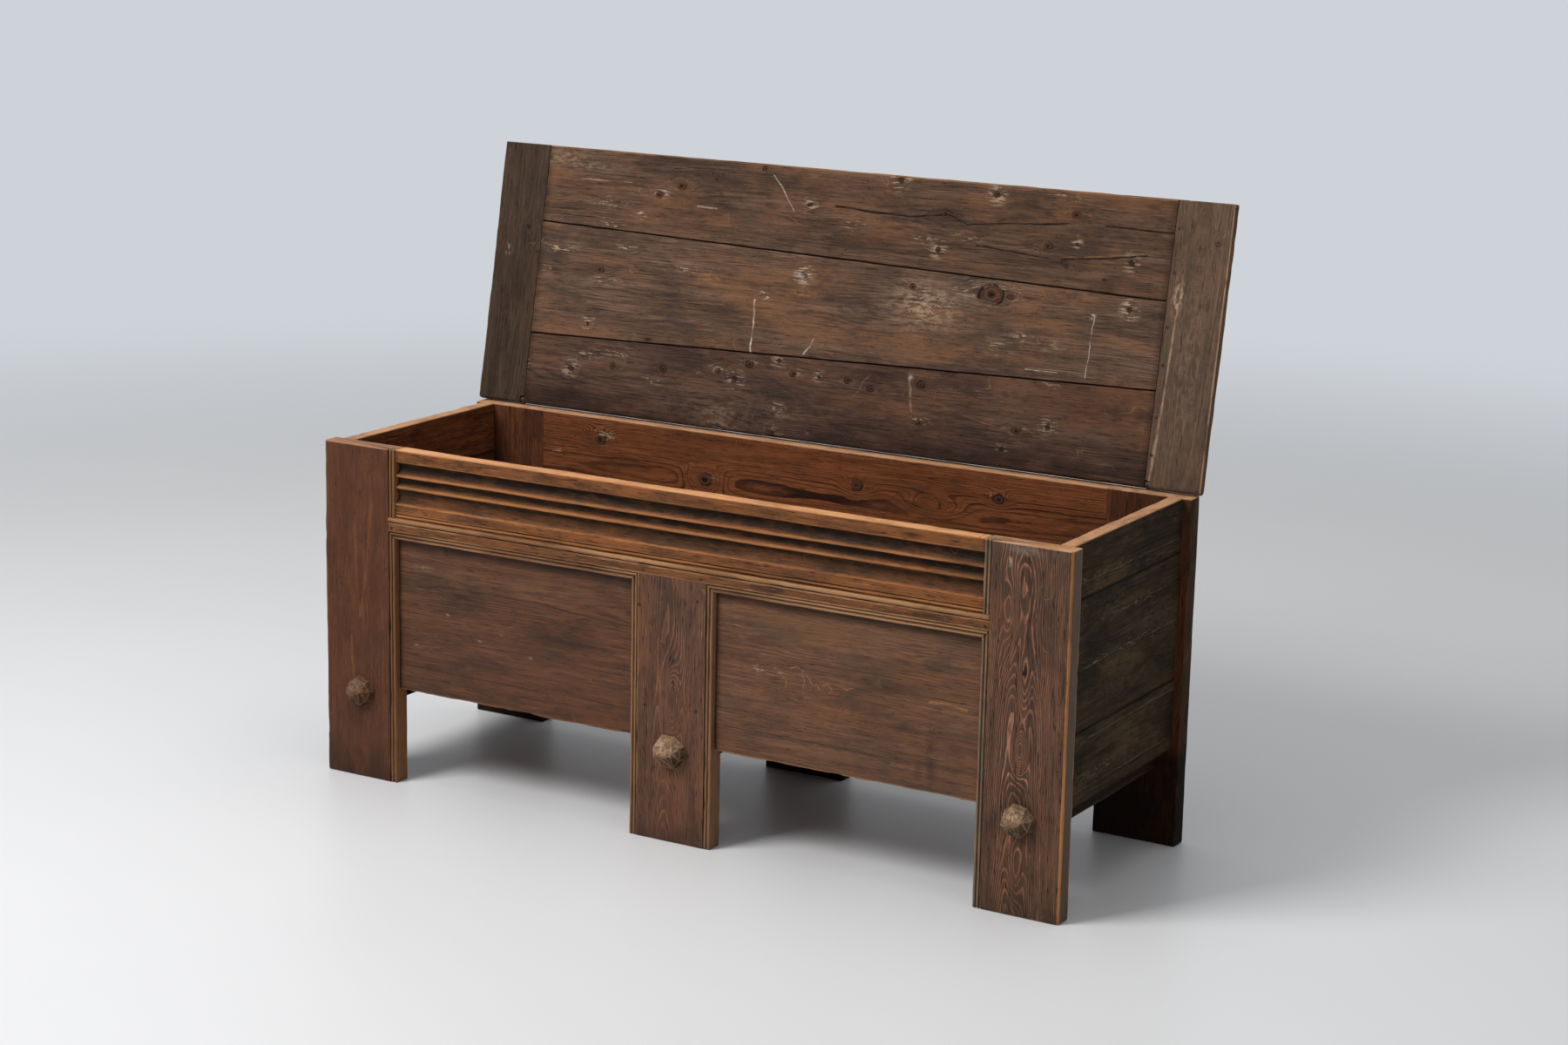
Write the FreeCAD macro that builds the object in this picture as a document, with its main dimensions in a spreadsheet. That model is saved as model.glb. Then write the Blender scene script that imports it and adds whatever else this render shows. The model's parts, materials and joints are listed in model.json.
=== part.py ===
import FreeCAD, Part
import math
import os
import re
import Sketcher

# Storage chest of boards. Three board legs stand at the front and three at the back, and all six run
# from the floor. The front has a moulded frieze rail at the rim, a proud middle rail and two panels,
# framed by a double bead that is mitred at the corners. Each end is three planks tongued into the legs.
# Front-to-back bearers, pegged through the legs with big faceted heads, carry the floor boards.
# The lid is three planks held between two battens. It turns on iron pins in eyes that are driven into
# the rear legs, and it stands open on the battens' rear arris.
# Millimetres; X runs along the chest, Y from front to back and Z up. The floor is at Z = 0.

SIZES = {
    # Carcass
    "chest_length": 1700.0,
    "chest_depth": 570.0,
    "rim_height": 707.0,
    "leg_thickness": 39.3,
    "leg_width": 179.0,
    "middle_leg_width": 187.0,
    "arris_wear": 2.5,
    "panel_foot": 200.0,
    "panel_recess": 15.0,
    # Joints between boards
    "seat_gap": 0.3,
    "tongue_length": 10.0,
    "tongue_thickness": 10.0,
    "tenon_length": 25.0,
    "tenon_thickness": 12.0,
    "middle_tenon_width": 150.0,
    "cut_overrun": 5.0,
    # Frieze rail, from the rim down, with depths behind the legs' face
    "frieze_height": 141.0,
    "frieze_recess": 5.0,
    "frieze_band": 25.0,
    "frieze_bevel": 2.0,
    "frieze_cove": 18.0,
    "frieze_cove_depth": 17.0,
    "ridge_slope": 7.0,
    "ridge_nose": 4.5,
    "ridge_recess": 6.5,
    "ridge_hollow": 12.5,
    "wide_cove": 27.0,
    "wide_cove_depth": 14.0,
    "cove_radius": 11.4,
    "hollow_radius": 10.5,
    "wide_cove_radius": 20.0,
    "lower_slope": 5.0,
    "foot_bead": 8.5,
    "foot_bead_recess": 7.5,
    # Middle rail and the double bead round the panels
    "middle_rail_height": 45.0,
    "torus_height": 9.7,
    "torus_step": 1.2,
    "bead_width": 6.3,
    "bead_roundness": 0.53,
    "quirk_width": 1.2,
    "quirk_depth": 2.6,
    "rail_lap": 12.0,
    # Ends
    "side_setback": 17.9,
    "side_thickness": 29.3,
    "side_lower_height": 144.0,
    "side_upper_height": 107.0,
    "plank_gap": 0.5,
    # Back
    "back_rail_height": 177.0,
    # Floor
    "peg_height": 186.0,
    "bearer_width": 80.0,
    "bearer_height": 60.0,
    "floor_thickness": 20.0,
    "floor_board_gap": 1.0,
    # Pegs
    "peg_head_width": 72.0,
    "peg_head_height": 66.0,
    "peg_head_out": 28.0,
    "peg_diameter": 36.0,
    "peg_reach": 70.0,
    # Lid
    "lid_overhang": 8.0,
    "lid_depth": 566.0,
    "lid_thickness": 20.0,
    "lid_seat": 0.3,
    "batten_width": 118.7,
    "batten_corner": 5.0,
    "lid_tongue_length": 15.0,
    "lid_tongue_thickness": 7.0,
    "lid_tongue_shoulder": 12.0,
    "lid_joint_gap": 3.0,
    "edge_tongue_length": 8.0,
    "edge_tongue_thickness": 6.0,
    "lid_end_gap": 0.8,
    "waney_depth": 4.0,
    "lid_pin_diameter": 6.0,
    "lid_pin_inset": 8.0,
    # Hinge
    "hinge_inset": 8.28,
    "hinge_pin_diameter": 7.0,
    "hinge_running_gap": 0.05,
    "eye_wall": 4.0,
    "eye_width": 8.0,
    "eye_side_gap": 1.0,
    "spike_width": 6.0,
    "spike_length": 60.0,
    # Small flush pins of the front frame
    "frame_pin_diameter": 7.0,
    "frame_pin_length": 30.0,
}

# Where the two joints between the lid's planks meet the battens, as shares of the lid's depth
# from its hinge edge, at the left end and at the right end.
REAR_JOINT_SHARES = (0.277, 0.339)
FRONT_JOINT_SHARES = (0.709, 0.649)

# The hinge edge of the rear plank wavers: places along the plank and set-backs, as shares.
WANEY_PLACE_SHARES = (-1.0, -0.85, -0.6, -0.42, -0.12, 0.15, 0.45, 0.75, 1.0)
WANEY_DEPTH_SHARES = (0.2, 0.9, 1.0, 0.35, 1.0, 0.4, 0.3, 1.2, 0.9)

# A hewn head is three rings of corners: base, shoulder and ridge. Each ring has a length and a width
# across the head, a place out from the leg and a place of its middle, as shares of the head. The
# ridge is long and narrow and tilts, so the facets above it face up and those below it face down.
HEAD_RING_SHARES = ((1.0, 1.0, 0.0, 0.0, 0.0), (0.88, 0.86, 0.5, 0.02, -0.02), (0.5, 0.14, 1.0, 0.07, 0.02))
HEAD_CORNER_SHARES = (1.0, 0.93, 1.0, 0.9, 0.98, 0.94, 1.0, 0.91)
# Each head by the degrees that it is turned, the tilt of its ridge and its size, as a share.
HEAD_TURNS = {"left": 8.0, "middle": 27.0, "right": 16.0}
HEAD_RIDGE_TILTS = {"left": 24.0, "middle": 14.0, "right": 28.0}
HEAD_SIZE_SHARES = {"left": 1.02, "middle": 1.13, "right": 1.05}

# Pins in the middle leg, by the share of half its width and the share of the rim height.
LEG_PIN_SHARES = ((-0.79, 0.669), (0.63, 0.704), (-0.63, 0.385), (0.63, 0.393))
# Pins through the middle leg's tenon, by the share of its width.
TENON_PIN_SHARES = (-0.44, 0.44)
# Pins through a lid plank's tongue, by the share of its length.
TONGUE_PIN_SHARES = (0.25, 0.75)

FLOOR_BOARDS = 4
TURN = 360.0

doc = FreeCAD.newDocument("storage_chest")
sheet = doc.addObject("Spreadsheet::Sheet", "Sizes")
for row, (alias, value) in enumerate(SIZES.items(), start=1):
    sheet.set(f"A{row}", alias)
    sheet.set(f"B{row}", str(value))
    sheet.setAlias(f"B{row}", alias)
doc.recompute()


def formula(text):
    """Turn a formula in the sheet's words into one that any object can hold."""
    return re.sub(r"[a-z_]+", lambda m: "Sizes." + m.group() if m.group() in SIZES else m.group(), text)


def worth(text):
    """The value of a formula now."""
    result = sheet.evalExpression(formula(text))
    return float(getattr(result, "Value", result))


# Planes and places that several pieces share, as formulas.
END = "(chest_length / 2)"
FRONT = "(-chest_depth / 2)"
BACK = "(chest_depth / 2)"
LEG_BACK = "(leg_thickness - chest_depth / 2)"
REAR_LEG_FRONT = "(chest_depth / 2 - leg_thickness)"
INNER_EDGE = "(chest_length / 2 - leg_width)"
MIDDLE_EDGE = "(middle_leg_width / 2)"
LEG_CENTRE = "(chest_length / 2 - leg_width / 2)"
RAIL_TOP = "(rim_height - frieze_height)"
RAIL_FOOT = "(rim_height - frieze_height - middle_rail_height)"
BEADING = "(2 * quirk_width + 2 * bead_width)"
FRIEZE_TENON_FOOT = f"({RAIL_TOP} + foot_bead)"
TONGUE_FRONT = f"({LEG_BACK} - (leg_thickness - panel_recess + tongue_thickness) / 2)"
TONGUE_BACK = f"({LEG_BACK} - (leg_thickness - panel_recess - tongue_thickness) / 2)"
TENON_FRONT = f"({LEG_BACK} - (leg_thickness - rail_lap + tenon_thickness) / 2)"
TENON_BACK = f"({LEG_BACK} - (leg_thickness - rail_lap - tenon_thickness) / 2)"
SIDE_OUTER = "(chest_length / 2 - side_setback)"
SIDE_INNER = "(chest_length / 2 - side_setback - side_thickness)"
SIDE_TONGUE_IN = f"({SIDE_OUTER} - (side_thickness + tongue_thickness) / 2)"
SIDE_TONGUE_OUT = f"({SIDE_OUTER} - (side_thickness - tongue_thickness) / 2)"
BACK_RAIL_FOOT = "(rim_height - back_rail_height)"
BACK_FACE = "(chest_depth / 2 - panel_recess)"
BACK_TONGUE_FRONT = f"({REAR_LEG_FRONT} + (leg_thickness - panel_recess - tongue_thickness) / 2)"
BACK_TONGUE_BACK = f"({REAR_LEG_FRONT} + (leg_thickness - panel_recess + tongue_thickness) / 2)"
BEARER_TOP = "(peg_height + bearer_height / 2)"
HINGE_Y = "(chest_depth / 2 - hinge_inset)"
HINGE_Z = "(rim_height + lid_seat + lid_thickness / 2)"
BATTEN_INNER = "(chest_length / 2 + lid_overhang - batten_width)"
LID_END = "(chest_length / 2 + lid_overhang)"
EYE_RADIUS = "(hinge_pin_diameter / 2 + hinge_running_gap + eye_wall)"
REBATE_DEPTH = f"({EYE_RADIUS} + eye_side_gap)"
PIN_HOLE = "frame_pin_diameter + 2 * seat_gap"
PEG_HOLE = "peg_diameter + 2 * seat_gap"
# The lid swings until the batten's rear arris meets the leg, which is twice the arris's own angle.
OPEN_ANGLE = "(2 * atan(lid_thickness / 2 / hinge_inset))"
# The origin lies under the middle of the open chest, so everything moves forward by this much.
REAR_REACH = (f"({HINGE_Y} - (lid_depth - hinge_inset) * cos({OPEN_ANGLE})"
              f" + lid_thickness / 2 * sin({OPEN_ANGLE}))")
FRONT_REACH = "(chest_depth / 2 + seat_gap + peg_head_out)"
FORWARD = f"(({FRONT_REACH} - {REAR_REACH}) / 2)"

pieces = {}


def minus(text):
    return f"(-({text}))"


def side_of(side, text):
    """A formula on the right (side 1) or mirrored to the left (side -1)."""
    return f"({text})" if side > 0 else minus(text)


def span(side, near, far):
    """Low and high formula of a stretch along X that is mirrored with its side."""
    return (f"({near})", f"({far})") if side > 0 else (minus(far), minus(near))


def swing_open(item):
    """Turn a lid piece, which is drawn closed about the hinge axis, to where the lid stands."""
    turned = FreeCAD.Rotation(FreeCAD.Vector(-1, 0, 0), worth(OPEN_ANGLE))
    item.Placement = FreeCAD.Placement(FreeCAD.Vector(), turned)
    item.setExpression("Placement.Rotation.Angle", formula(OPEN_ANGLE))
    item.setExpression("Placement.Base.z", formula(HINGE_Z))
    item.setExpression("Placement.Base.y", formula(f"{HINGE_Y} + {FORWARD}"))


def new_body(label, on_lid=False):
    """Start a piece, on the chest or on the lid."""
    body = doc.addObject("PartDesign::Body", label)
    body.Label = label
    if on_lid:
        swing_open(body)
    else:
        body.setExpression("Placement.Base.y", formula(FORWARD))
    pieces[label] = body
    return body


def plane_of(body, role):
    """One of the body's own origin planes."""
    return next(item for item in body.Origin.OriginFeatures if item.Role == role)


def place_on(feature, body, role, level):
    """Attach to an origin plane of the body, at a level along the plane's own axis."""
    feature.AttachmentSupport = [(plane_of(body, role), "")]
    feature.MapMode = "FlatFace"
    away = minus(level) if role == "XZ_Plane" else level
    feature.setExpression(".AttachmentOffset.Base.z", formula(away))


def volume_of(body):
    doc.recompute()
    return body.Shape.Volume


def outline(body, role, level, corners, name="Outline"):
    """A closed outline of lines and arcs. A corner is (across, up) or (across, up, radius, bulge),
    where the stretch that starts there is an arc, which bulges left (1) or right (-1) of its way."""
    sketch = body.newObject("Sketcher::SketchObject", f"{body.Label}_{name}")
    place_on(sketch, body, role, level)
    points = [FreeCAD.Vector(worth(corner[0]), worth(corner[1]), 0) for corner in corners]
    starts, ends = [], []
    for number, corner in enumerate(corners):
        here, there = points[number], points[(number + 1) % len(points)]
        if len(corner) == 2:
            sketch.addGeometry(Part.LineSegment(here, there), False)
            starts.append(1)
            ends.append(2)
            continue
        radius, bulge = worth(corner[2]), corner[3]
        chord = there - here
        rise = radius - math.sqrt(radius ** 2 - (chord.Length / 2) ** 2)
        left = FreeCAD.Vector(-chord.y, chord.x, 0) / chord.Length
        arc = Part.Arc(here, (here + there) / 2 + left * rise * bulge, there)
        sketch.addGeometry(arc, False)
        forwards = (sketch.getPoint(number, 1) - here).Length < (sketch.getPoint(number, 2) - here).Length
        starts.append(1 if forwards else 2)
        ends.append(2 if forwards else 1)
    rules, texts = [], []
    for number, corner in enumerate(corners):
        after = (number + 1) % len(corners)
        rules.append(Sketcher.Constraint("Coincident", number, ends[number], after, starts[after]))
        texts.append("")
        rules.append(Sketcher.Constraint("DistanceX", number, starts[number], points[number].x))
        texts.append(corner[0])
        rules.append(Sketcher.Constraint("DistanceY", number, starts[number], points[number].y))
        texts.append(corner[1])
        if len(corner) > 2:
            rules.append(Sketcher.Constraint("Radius", number, worth(corner[2])))
            texts.append(corner[2])
    bind(sketch, rules, texts)
    return sketch


def bind(sketch, rules, texts):
    """Give a sketch all its constraints at once, and tie each size to its formula."""
    sketch.addConstraint(rules)
    for number, text in enumerate(texts):
        if text:
            sketch.setExpression(f"Constraints[{number}]", formula(text))


def circle(body, role, level, across, up, diameters, name="Circle"):
    """A sketch of one circle, or of a ring where two diameters are given."""
    sketch = body.newObject("Sketcher::SketchObject", f"{body.Label}_{name}")
    place_on(sketch, body, role, level)
    centre = FreeCAD.Vector(worth(across), worth(up), 0)
    rules, texts = [], []
    for number, size in enumerate(diameters):
        sketch.addGeometry(Part.Circle(centre, FreeCAD.Vector(0, 0, 1), worth(size) / 2), False)
        rules.append(Sketcher.Constraint("DistanceX", number, 3, worth(across)))
        rules.append(Sketcher.Constraint("DistanceY", number, 3, worth(up)))
        rules.append(Sketcher.Constraint("Diameter", number, worth(size)))
        texts += [across, up, size]
    bind(sketch, rules, texts)
    return sketch


def pad(body, sketch, length, backwards=False):
    """Grow a sketch along its plane's axis, or against it."""
    feature = body.newObject("PartDesign::Pad", f"{sketch.Name}_Pad")
    feature.Profile = sketch
    feature.Reversed = backwards
    feature.setExpression("Length", formula(length))
    sketch.Visibility = False
    return feature


def pocket(body, sketch, length, backwards=False):
    """Cut a sketch out against its plane's axis, or along it, and see that something went."""
    before = volume_of(body)
    feature = body.newObject("PartDesign::Pocket", f"{sketch.Name}_Pocket")
    feature.Profile = sketch
    feature.Reversed = backwards
    feature.setExpression("Length", formula(length))
    sketch.Visibility = False
    if not volume_of(body) < before:
        raise RuntimeError(f"{feature.Label} cuts nothing")
    return feature


def box(body, kind, name, across, along, up):
    """Add or take away a block between pairs of low and high formulas."""
    feature = body.newObject(f"PartDesign::{kind}Box", f"{body.Label}_{name}")
    place_on(feature, body, "XY_Plane", up[0])
    feature.setExpression(".AttachmentOffset.Base.x", formula(across[0]))
    feature.setExpression(".AttachmentOffset.Base.y", formula(along[0]))
    feature.setExpression("Length", formula(f"({across[1]}) - ({across[0]})"))
    feature.setExpression("Width", formula(f"({along[1]}) - ({along[0]})"))
    feature.setExpression("Height", formula(f"({up[1]}) - ({up[0]})"))
    return feature


def block(body, name, across, along, up):
    return box(body, "Additive", name, across, along, up)


def mortise(body, name, across, along, up):
    """Cut a block out, and see that something went."""
    before = volume_of(body)
    feature = box(body, "Subtractive", name, across, along, up)
    if not volume_of(body) < before:
        raise RuntimeError(f"{feature.Label} cuts nothing")
    return feature


def bore(body, name, role, level, across, up, diameter, length):
    """Drill a round hole from a level along the plane's own axis."""
    before = volume_of(body)
    feature = body.newObject("PartDesign::SubtractiveCylinder", f"{body.Label}_{name}")
    place_on(feature, body, role, level)
    feature.setExpression(".AttachmentOffset.Base.x", formula(across))
    feature.setExpression(".AttachmentOffset.Base.y", formula(up))
    feature.setExpression("Radius", formula(f"({diameter}) / 2"))
    feature.setExpression("Height", formula(length))
    if not volume_of(body) < before:
        raise RuntimeError(f"{feature.Label} drills nothing")
    return feature


def grown(pair):
    """A stretch made wider at each end, for a hole that a piece goes into."""
    return (f"({pair[0]} - seat_gap)", f"({pair[1]} + seat_gap)")


def beading(toward, start_across, start_deep, across_sign, deep_sign):
    """Corners of the double bead, from the flat face outwards to the edge: quirk, bead, quirk, bead."""
    corners = []
    reach = "0"
    for _ in range(2):
        floor_start = reach
        bead_start = f"{reach} + quirk_width"
        bead_end = f"{reach} + quirk_width + bead_width"
        corners.append((floor_start, "quirk_depth"))
        corners.append((bead_start, "quirk_depth", "bead_width * bead_roundness", toward))
        reach = bead_end
    corners.append((reach, "quirk_depth"))
    placed = []
    for corner in corners:
        across = f"{start_across} + ({across_sign}) * ({corner[0]})"
        deep = f"{start_deep} + ({deep_sign}) * ({corner[1]})"
        placed.append((across, deep) + corner[2:])
    return placed


def front_pins(body, places):
    """Holes for small flush pins, drilled in from the face."""
    for number, (across, up) in enumerate(places, start=1):
        bore(body, f"Pin_Hole_{number}", "XZ_Plane", f"{FRONT} + frame_pin_length + seat_gap",
             across, up, PIN_HOLE, "frame_pin_length + seat_gap + cut_overrun")


# Pins: four in the middle leg, and one through each tenon of the middle rail.
LEG_PINS = [(f"middle_leg_width / 2 * {across}", f"rim_height * {up}") for across, up in LEG_PIN_SHARES]
RAIL_PINS = [(side_of(side, f"{INNER_EDGE} + {BEADING} / 2"), f"{RAIL_FOOT} + middle_rail_height / 2")
             for side in (-1, 1)]
TENON_PINS = [(f"middle_tenon_width * ({share})", f"{RAIL_FOOT} + middle_rail_height / 2")
              for share in TENON_PIN_SHARES]


def corner_leg_front(side, label):
    """A front corner leg: stuck with the double bead on its inner edge, grooved, mortised and drilled."""
    body = new_body(label)
    outer, inner = side_of(side, END), side_of(side, INNER_EDGE)
    worn = side_of(side, f"{END} - arris_wear")
    flat = side_of(side, f"{INNER_EDGE} + {BEADING}")
    corners = [(outer, LEG_BACK), (outer, f"{FRONT} + arris_wear"), (worn, FRONT), (flat, FRONT)]
    corners += beading(side, flat, FRONT, -side, 1)
    corners += [(inner, LEG_BACK)]
    pad(body, outline(body, "XY_Plane", "0", corners), "rim_height")
    behind = (TONGUE_FRONT, TONGUE_BACK)
    panel = span(side, INNER_EDGE, f"{INNER_EDGE} + tongue_length + seat_gap")
    mortise(body, "Panel_Groove", panel, grown(behind), ("panel_foot - seat_gap", RAIL_FOOT))
    reach = span(side, INNER_EDGE, f"{INNER_EDGE} + tenon_length + seat_gap")
    tenon = grown((TENON_FRONT, TENON_BACK))
    mortise(body, "Middle_Rail_Mortise", reach, tenon,
            grown((f"{RAIL_FOOT} + {BEADING}", f"{RAIL_TOP} - quirk_width")))
    mortise(body, "Frieze_Mortise", reach, tenon, grown((FRIEZE_TENON_FOOT, "rim_height - frieze_band")))
    lap = [(side_of(side, across), up) for across, up in (
        (f"{INNER_EDGE} - cut_overrun", f"{RAIL_FOOT} - cut_overrun"),
        (f"{INNER_EDGE} + {BEADING}", f"{RAIL_FOOT} + {BEADING}"),
        (f"{INNER_EDGE} + {BEADING} + seat_gap", f"{RAIL_FOOT} + {BEADING}"),
        (f"{INNER_EDGE} + {BEADING} + seat_gap", f"{RAIL_TOP} + seat_gap"),
        (f"{INNER_EDGE} - cut_overrun", f"{RAIL_TOP} + seat_gap"))]
    sketch = outline(body, "XZ_Plane", f"{FRONT} + rail_lap + seat_gap", lap, "Lap")
    pocket(body, sketch, "rail_lap + seat_gap + cut_overrun", backwards=True)
    mortise(body, "Side_Groove", span(side, f"{SIDE_TONGUE_IN} - seat_gap", f"{SIDE_TONGUE_OUT} + seat_gap"),
            (f"{LEG_BACK} - tongue_length - seat_gap", LEG_BACK),
            ("panel_foot - seat_gap", "rim_height + cut_overrun"))
    bore(body, "Peg_Hole", "XZ_Plane", LEG_BACK, side_of(side, LEG_CENTRE), "peg_height", PEG_HOLE,
         "leg_thickness")
    front_pins(body, [RAIL_PINS[0 if side < 0 else 1]])


def middle_leg_front(label):
    """The front middle leg: beaded on both edges, mitred into the rail's bead and tenoned above."""
    body = new_body(label)
    left_flat, right_flat = f"{BEADING} - {MIDDLE_EDGE}", f"{MIDDLE_EDGE} - {BEADING}"
    corners = [(minus(MIDDLE_EDGE), LEG_BACK)]
    corners += reversed_beading(beading(1, left_flat, FRONT, -1, 1))
    corners += [(left_flat, FRONT), (right_flat, FRONT)]
    corners += beading(-1, right_flat, FRONT, 1, 1)
    corners += [(MIDDLE_EDGE, LEG_BACK)]
    pad(body, outline(body, "XY_Plane", "0", corners), f"{RAIL_FOOT} + {BEADING}")
    for side, name in ((-1, "Left"), (1, "Right")):
        shoulder = [(side_of(side, across), up) for across, up in (
            (MIDDLE_EDGE, RAIL_FOOT),
            (f"{MIDDLE_EDGE} + cut_overrun", RAIL_FOOT),
            (f"{MIDDLE_EDGE} + cut_overrun", f"{RAIL_FOOT} + {BEADING} + cut_overrun"),
            (f"{MIDDLE_EDGE} - {BEADING} - cut_overrun", f"{RAIL_FOOT} + {BEADING} + cut_overrun"))]
        sketch = outline(body, "XZ_Plane", LEG_BACK, shoulder, f"{name}_Mitre")
        pocket(body, sketch, "leg_thickness", backwards=True)
        panel = span(side, f"{MIDDLE_EDGE} - tongue_length - seat_gap", MIDDLE_EDGE)
        mortise(body, f"{name}_Panel_Groove", panel, grown((TONGUE_FRONT, TONGUE_BACK)),
                ("panel_foot - seat_gap", f"{RAIL_FOOT} + {BEADING}"))
    block(body, "Tenon", ("-middle_tenon_width / 2", "middle_tenon_width / 2"), (TENON_FRONT, TENON_BACK),
          (f"{RAIL_FOOT} + {BEADING}", f"{RAIL_FOOT} + {BEADING} + tenon_length"))
    bore(body, "Peg_Hole", "XZ_Plane", LEG_BACK, "0", "peg_height", PEG_HOLE, "leg_thickness")
    front_pins(body, LEG_PINS)
    for number, (across, up) in enumerate(TENON_PINS, start=1):
        bore(body, f"Tenon_Hole_{number}", "XZ_Plane", TENON_BACK, across, up, PIN_HOLE, "tenon_thickness")


def reversed_beading(corners):
    """The same stretch walked the other way, so that each arc belongs to its other end."""
    back = []
    for number in range(len(corners) - 1, -1, -1):
        before = corners[number - 1] if number > 0 else ()
        back.append(corners[number][:2] + ((before[2], -before[3]) if len(before) > 2 else ()))
    return back


def corner_leg_back(side, label):
    """A rear corner leg: grooved for the side planks and the back, drilled for its peg and spiked above."""
    body = new_body(label)
    corners = [(side_of(side, across), deep) for across, deep in (
        (INNER_EDGE, REAR_LEG_FRONT), (END, REAR_LEG_FRONT), (END, f"{BACK} - arris_wear"),
        (f"{END} - arris_wear", BACK), (INNER_EDGE, BACK))]
    pad(body, outline(body, "XY_Plane", "0", corners), "rim_height")
    reach = span(side, INNER_EDGE, f"{INNER_EDGE} + tongue_length + seat_gap")
    mortise(body, "Back_Groove", reach, grown((BACK_TONGUE_FRONT, BACK_TONGUE_BACK)),
            ("panel_foot - seat_gap", "rim_height + cut_overrun"))
    mortise(body, "Side_Groove", span(side, f"{SIDE_TONGUE_IN} - seat_gap", f"{SIDE_TONGUE_OUT} + seat_gap"),
            (REAR_LEG_FRONT, f"{REAR_LEG_FRONT} + tongue_length + seat_gap"),
            ("panel_foot - seat_gap", "rim_height + cut_overrun"))
    bore(body, "Peg_Hole", "XZ_Plane", BACK, side_of(side, LEG_CENTRE), "peg_height", PEG_HOLE,
         "leg_thickness")
    half = "(spike_width / 2 + seat_gap)"
    near = f"{BATTEN_INNER} + eye_side_gap + (eye_width - spike_width) / 2 - seat_gap"
    mortise(body, "Spike_Hole", span(side, near, f"{near} + spike_width + 2 * seat_gap"),
            (f"{HINGE_Y} - {half}", f"{HINGE_Y} + {half}"),
            ("rim_height - spike_length - seat_gap", "rim_height + cut_overrun"))


def middle_leg_back(label):
    """The rear middle leg, which stops under the back rail and is tenoned into it."""
    body = new_body(label)
    corners = [(minus(MIDDLE_EDGE), REAR_LEG_FRONT), (MIDDLE_EDGE, REAR_LEG_FRONT), (MIDDLE_EDGE, BACK),
               (minus(MIDDLE_EDGE), BACK)]
    pad(body, outline(body, "XY_Plane", "0", corners), BACK_RAIL_FOOT)
    for side, name in ((-1, "Left"), (1, "Right")):
        groove = span(side, f"{MIDDLE_EDGE} - tongue_length - seat_gap", MIDDLE_EDGE)
        mortise(body, f"{name}_Panel_Groove", groove, grown((BACK_TONGUE_FRONT, BACK_TONGUE_BACK)),
                ("panel_foot - seat_gap", BACK_RAIL_FOOT))
    block(body, "Tenon", ("-middle_tenon_width / 2", "middle_tenon_width / 2"),
          (BACK_TONGUE_FRONT, BACK_TONGUE_BACK), (BACK_RAIL_FOOT, f"{BACK_RAIL_FOOT} + tenon_length"))
    bore(body, "Peg_Hole", "XZ_Plane", BACK, "0", "peg_height", PEG_HOLE, "leg_thickness")


def frieze_rail(label):
    """The moulded rail under the rim: band, deep cove, two ridges, wide cove, band and bead."""
    body = new_body(label)

    def at(drop, deep):
        return (f"{FRONT} + {deep}", f"rim_height - ({drop})")

    cove_end = "frieze_band + frieze_bevel + frieze_cove"
    nose_one = f"{cove_end} + ridge_slope"
    hollow_one = f"{nose_one} + ridge_nose"
    slope_two = f"{hollow_one} + ridge_hollow"
    nose_two = f"{slope_two} + ridge_slope"
    cove_two = f"{nose_two} + ridge_nose"
    slope_three = f"{cove_two} + wide_cove"
    band_two = f"{slope_three} + lower_slope"
    bead = "frieze_height - foot_bead"
    corners = [
        at("0", "leg_thickness"), at("0", "frieze_recess"), at("frieze_band", "frieze_recess"),
        at("frieze_band + frieze_bevel", "frieze_recess + frieze_bevel") + ("cove_radius", 1),
        at(cove_end, "frieze_cove_depth"), at(nose_one, "ridge_recess"),
        at(hollow_one, "ridge_recess") + ("hollow_radius", 1),
        at(slope_two, "frieze_cove_depth"), at(nose_two, "ridge_recess"),
        at(cove_two, "ridge_recess") + ("wide_cove_radius", 1),
        at(slope_three, "wide_cove_depth"), at(band_two, "frieze_recess"),
        at(bead, "frieze_recess"), at(bead, "foot_bead_recess") + ("foot_bead * bead_roundness", -1),
        at("frieze_height", "foot_bead_recess"), at("frieze_height", "leg_thickness")]
    profile = outline(body, "YZ_Plane", f"{minus(INNER_EDGE)} + seat_gap", corners, "Profile")
    pad(body, profile, f"2 * ({INNER_EDGE} - seat_gap)")
    for side, name in ((-1, "Left"), (1, "Right")):
        block(body, f"{name}_Tenon", span(side, f"{INNER_EDGE} - seat_gap", f"{INNER_EDGE} + tenon_length"),
              (TENON_FRONT, TENON_BACK), (FRIEZE_TENON_FOOT, "rim_height - frieze_band"))


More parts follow.
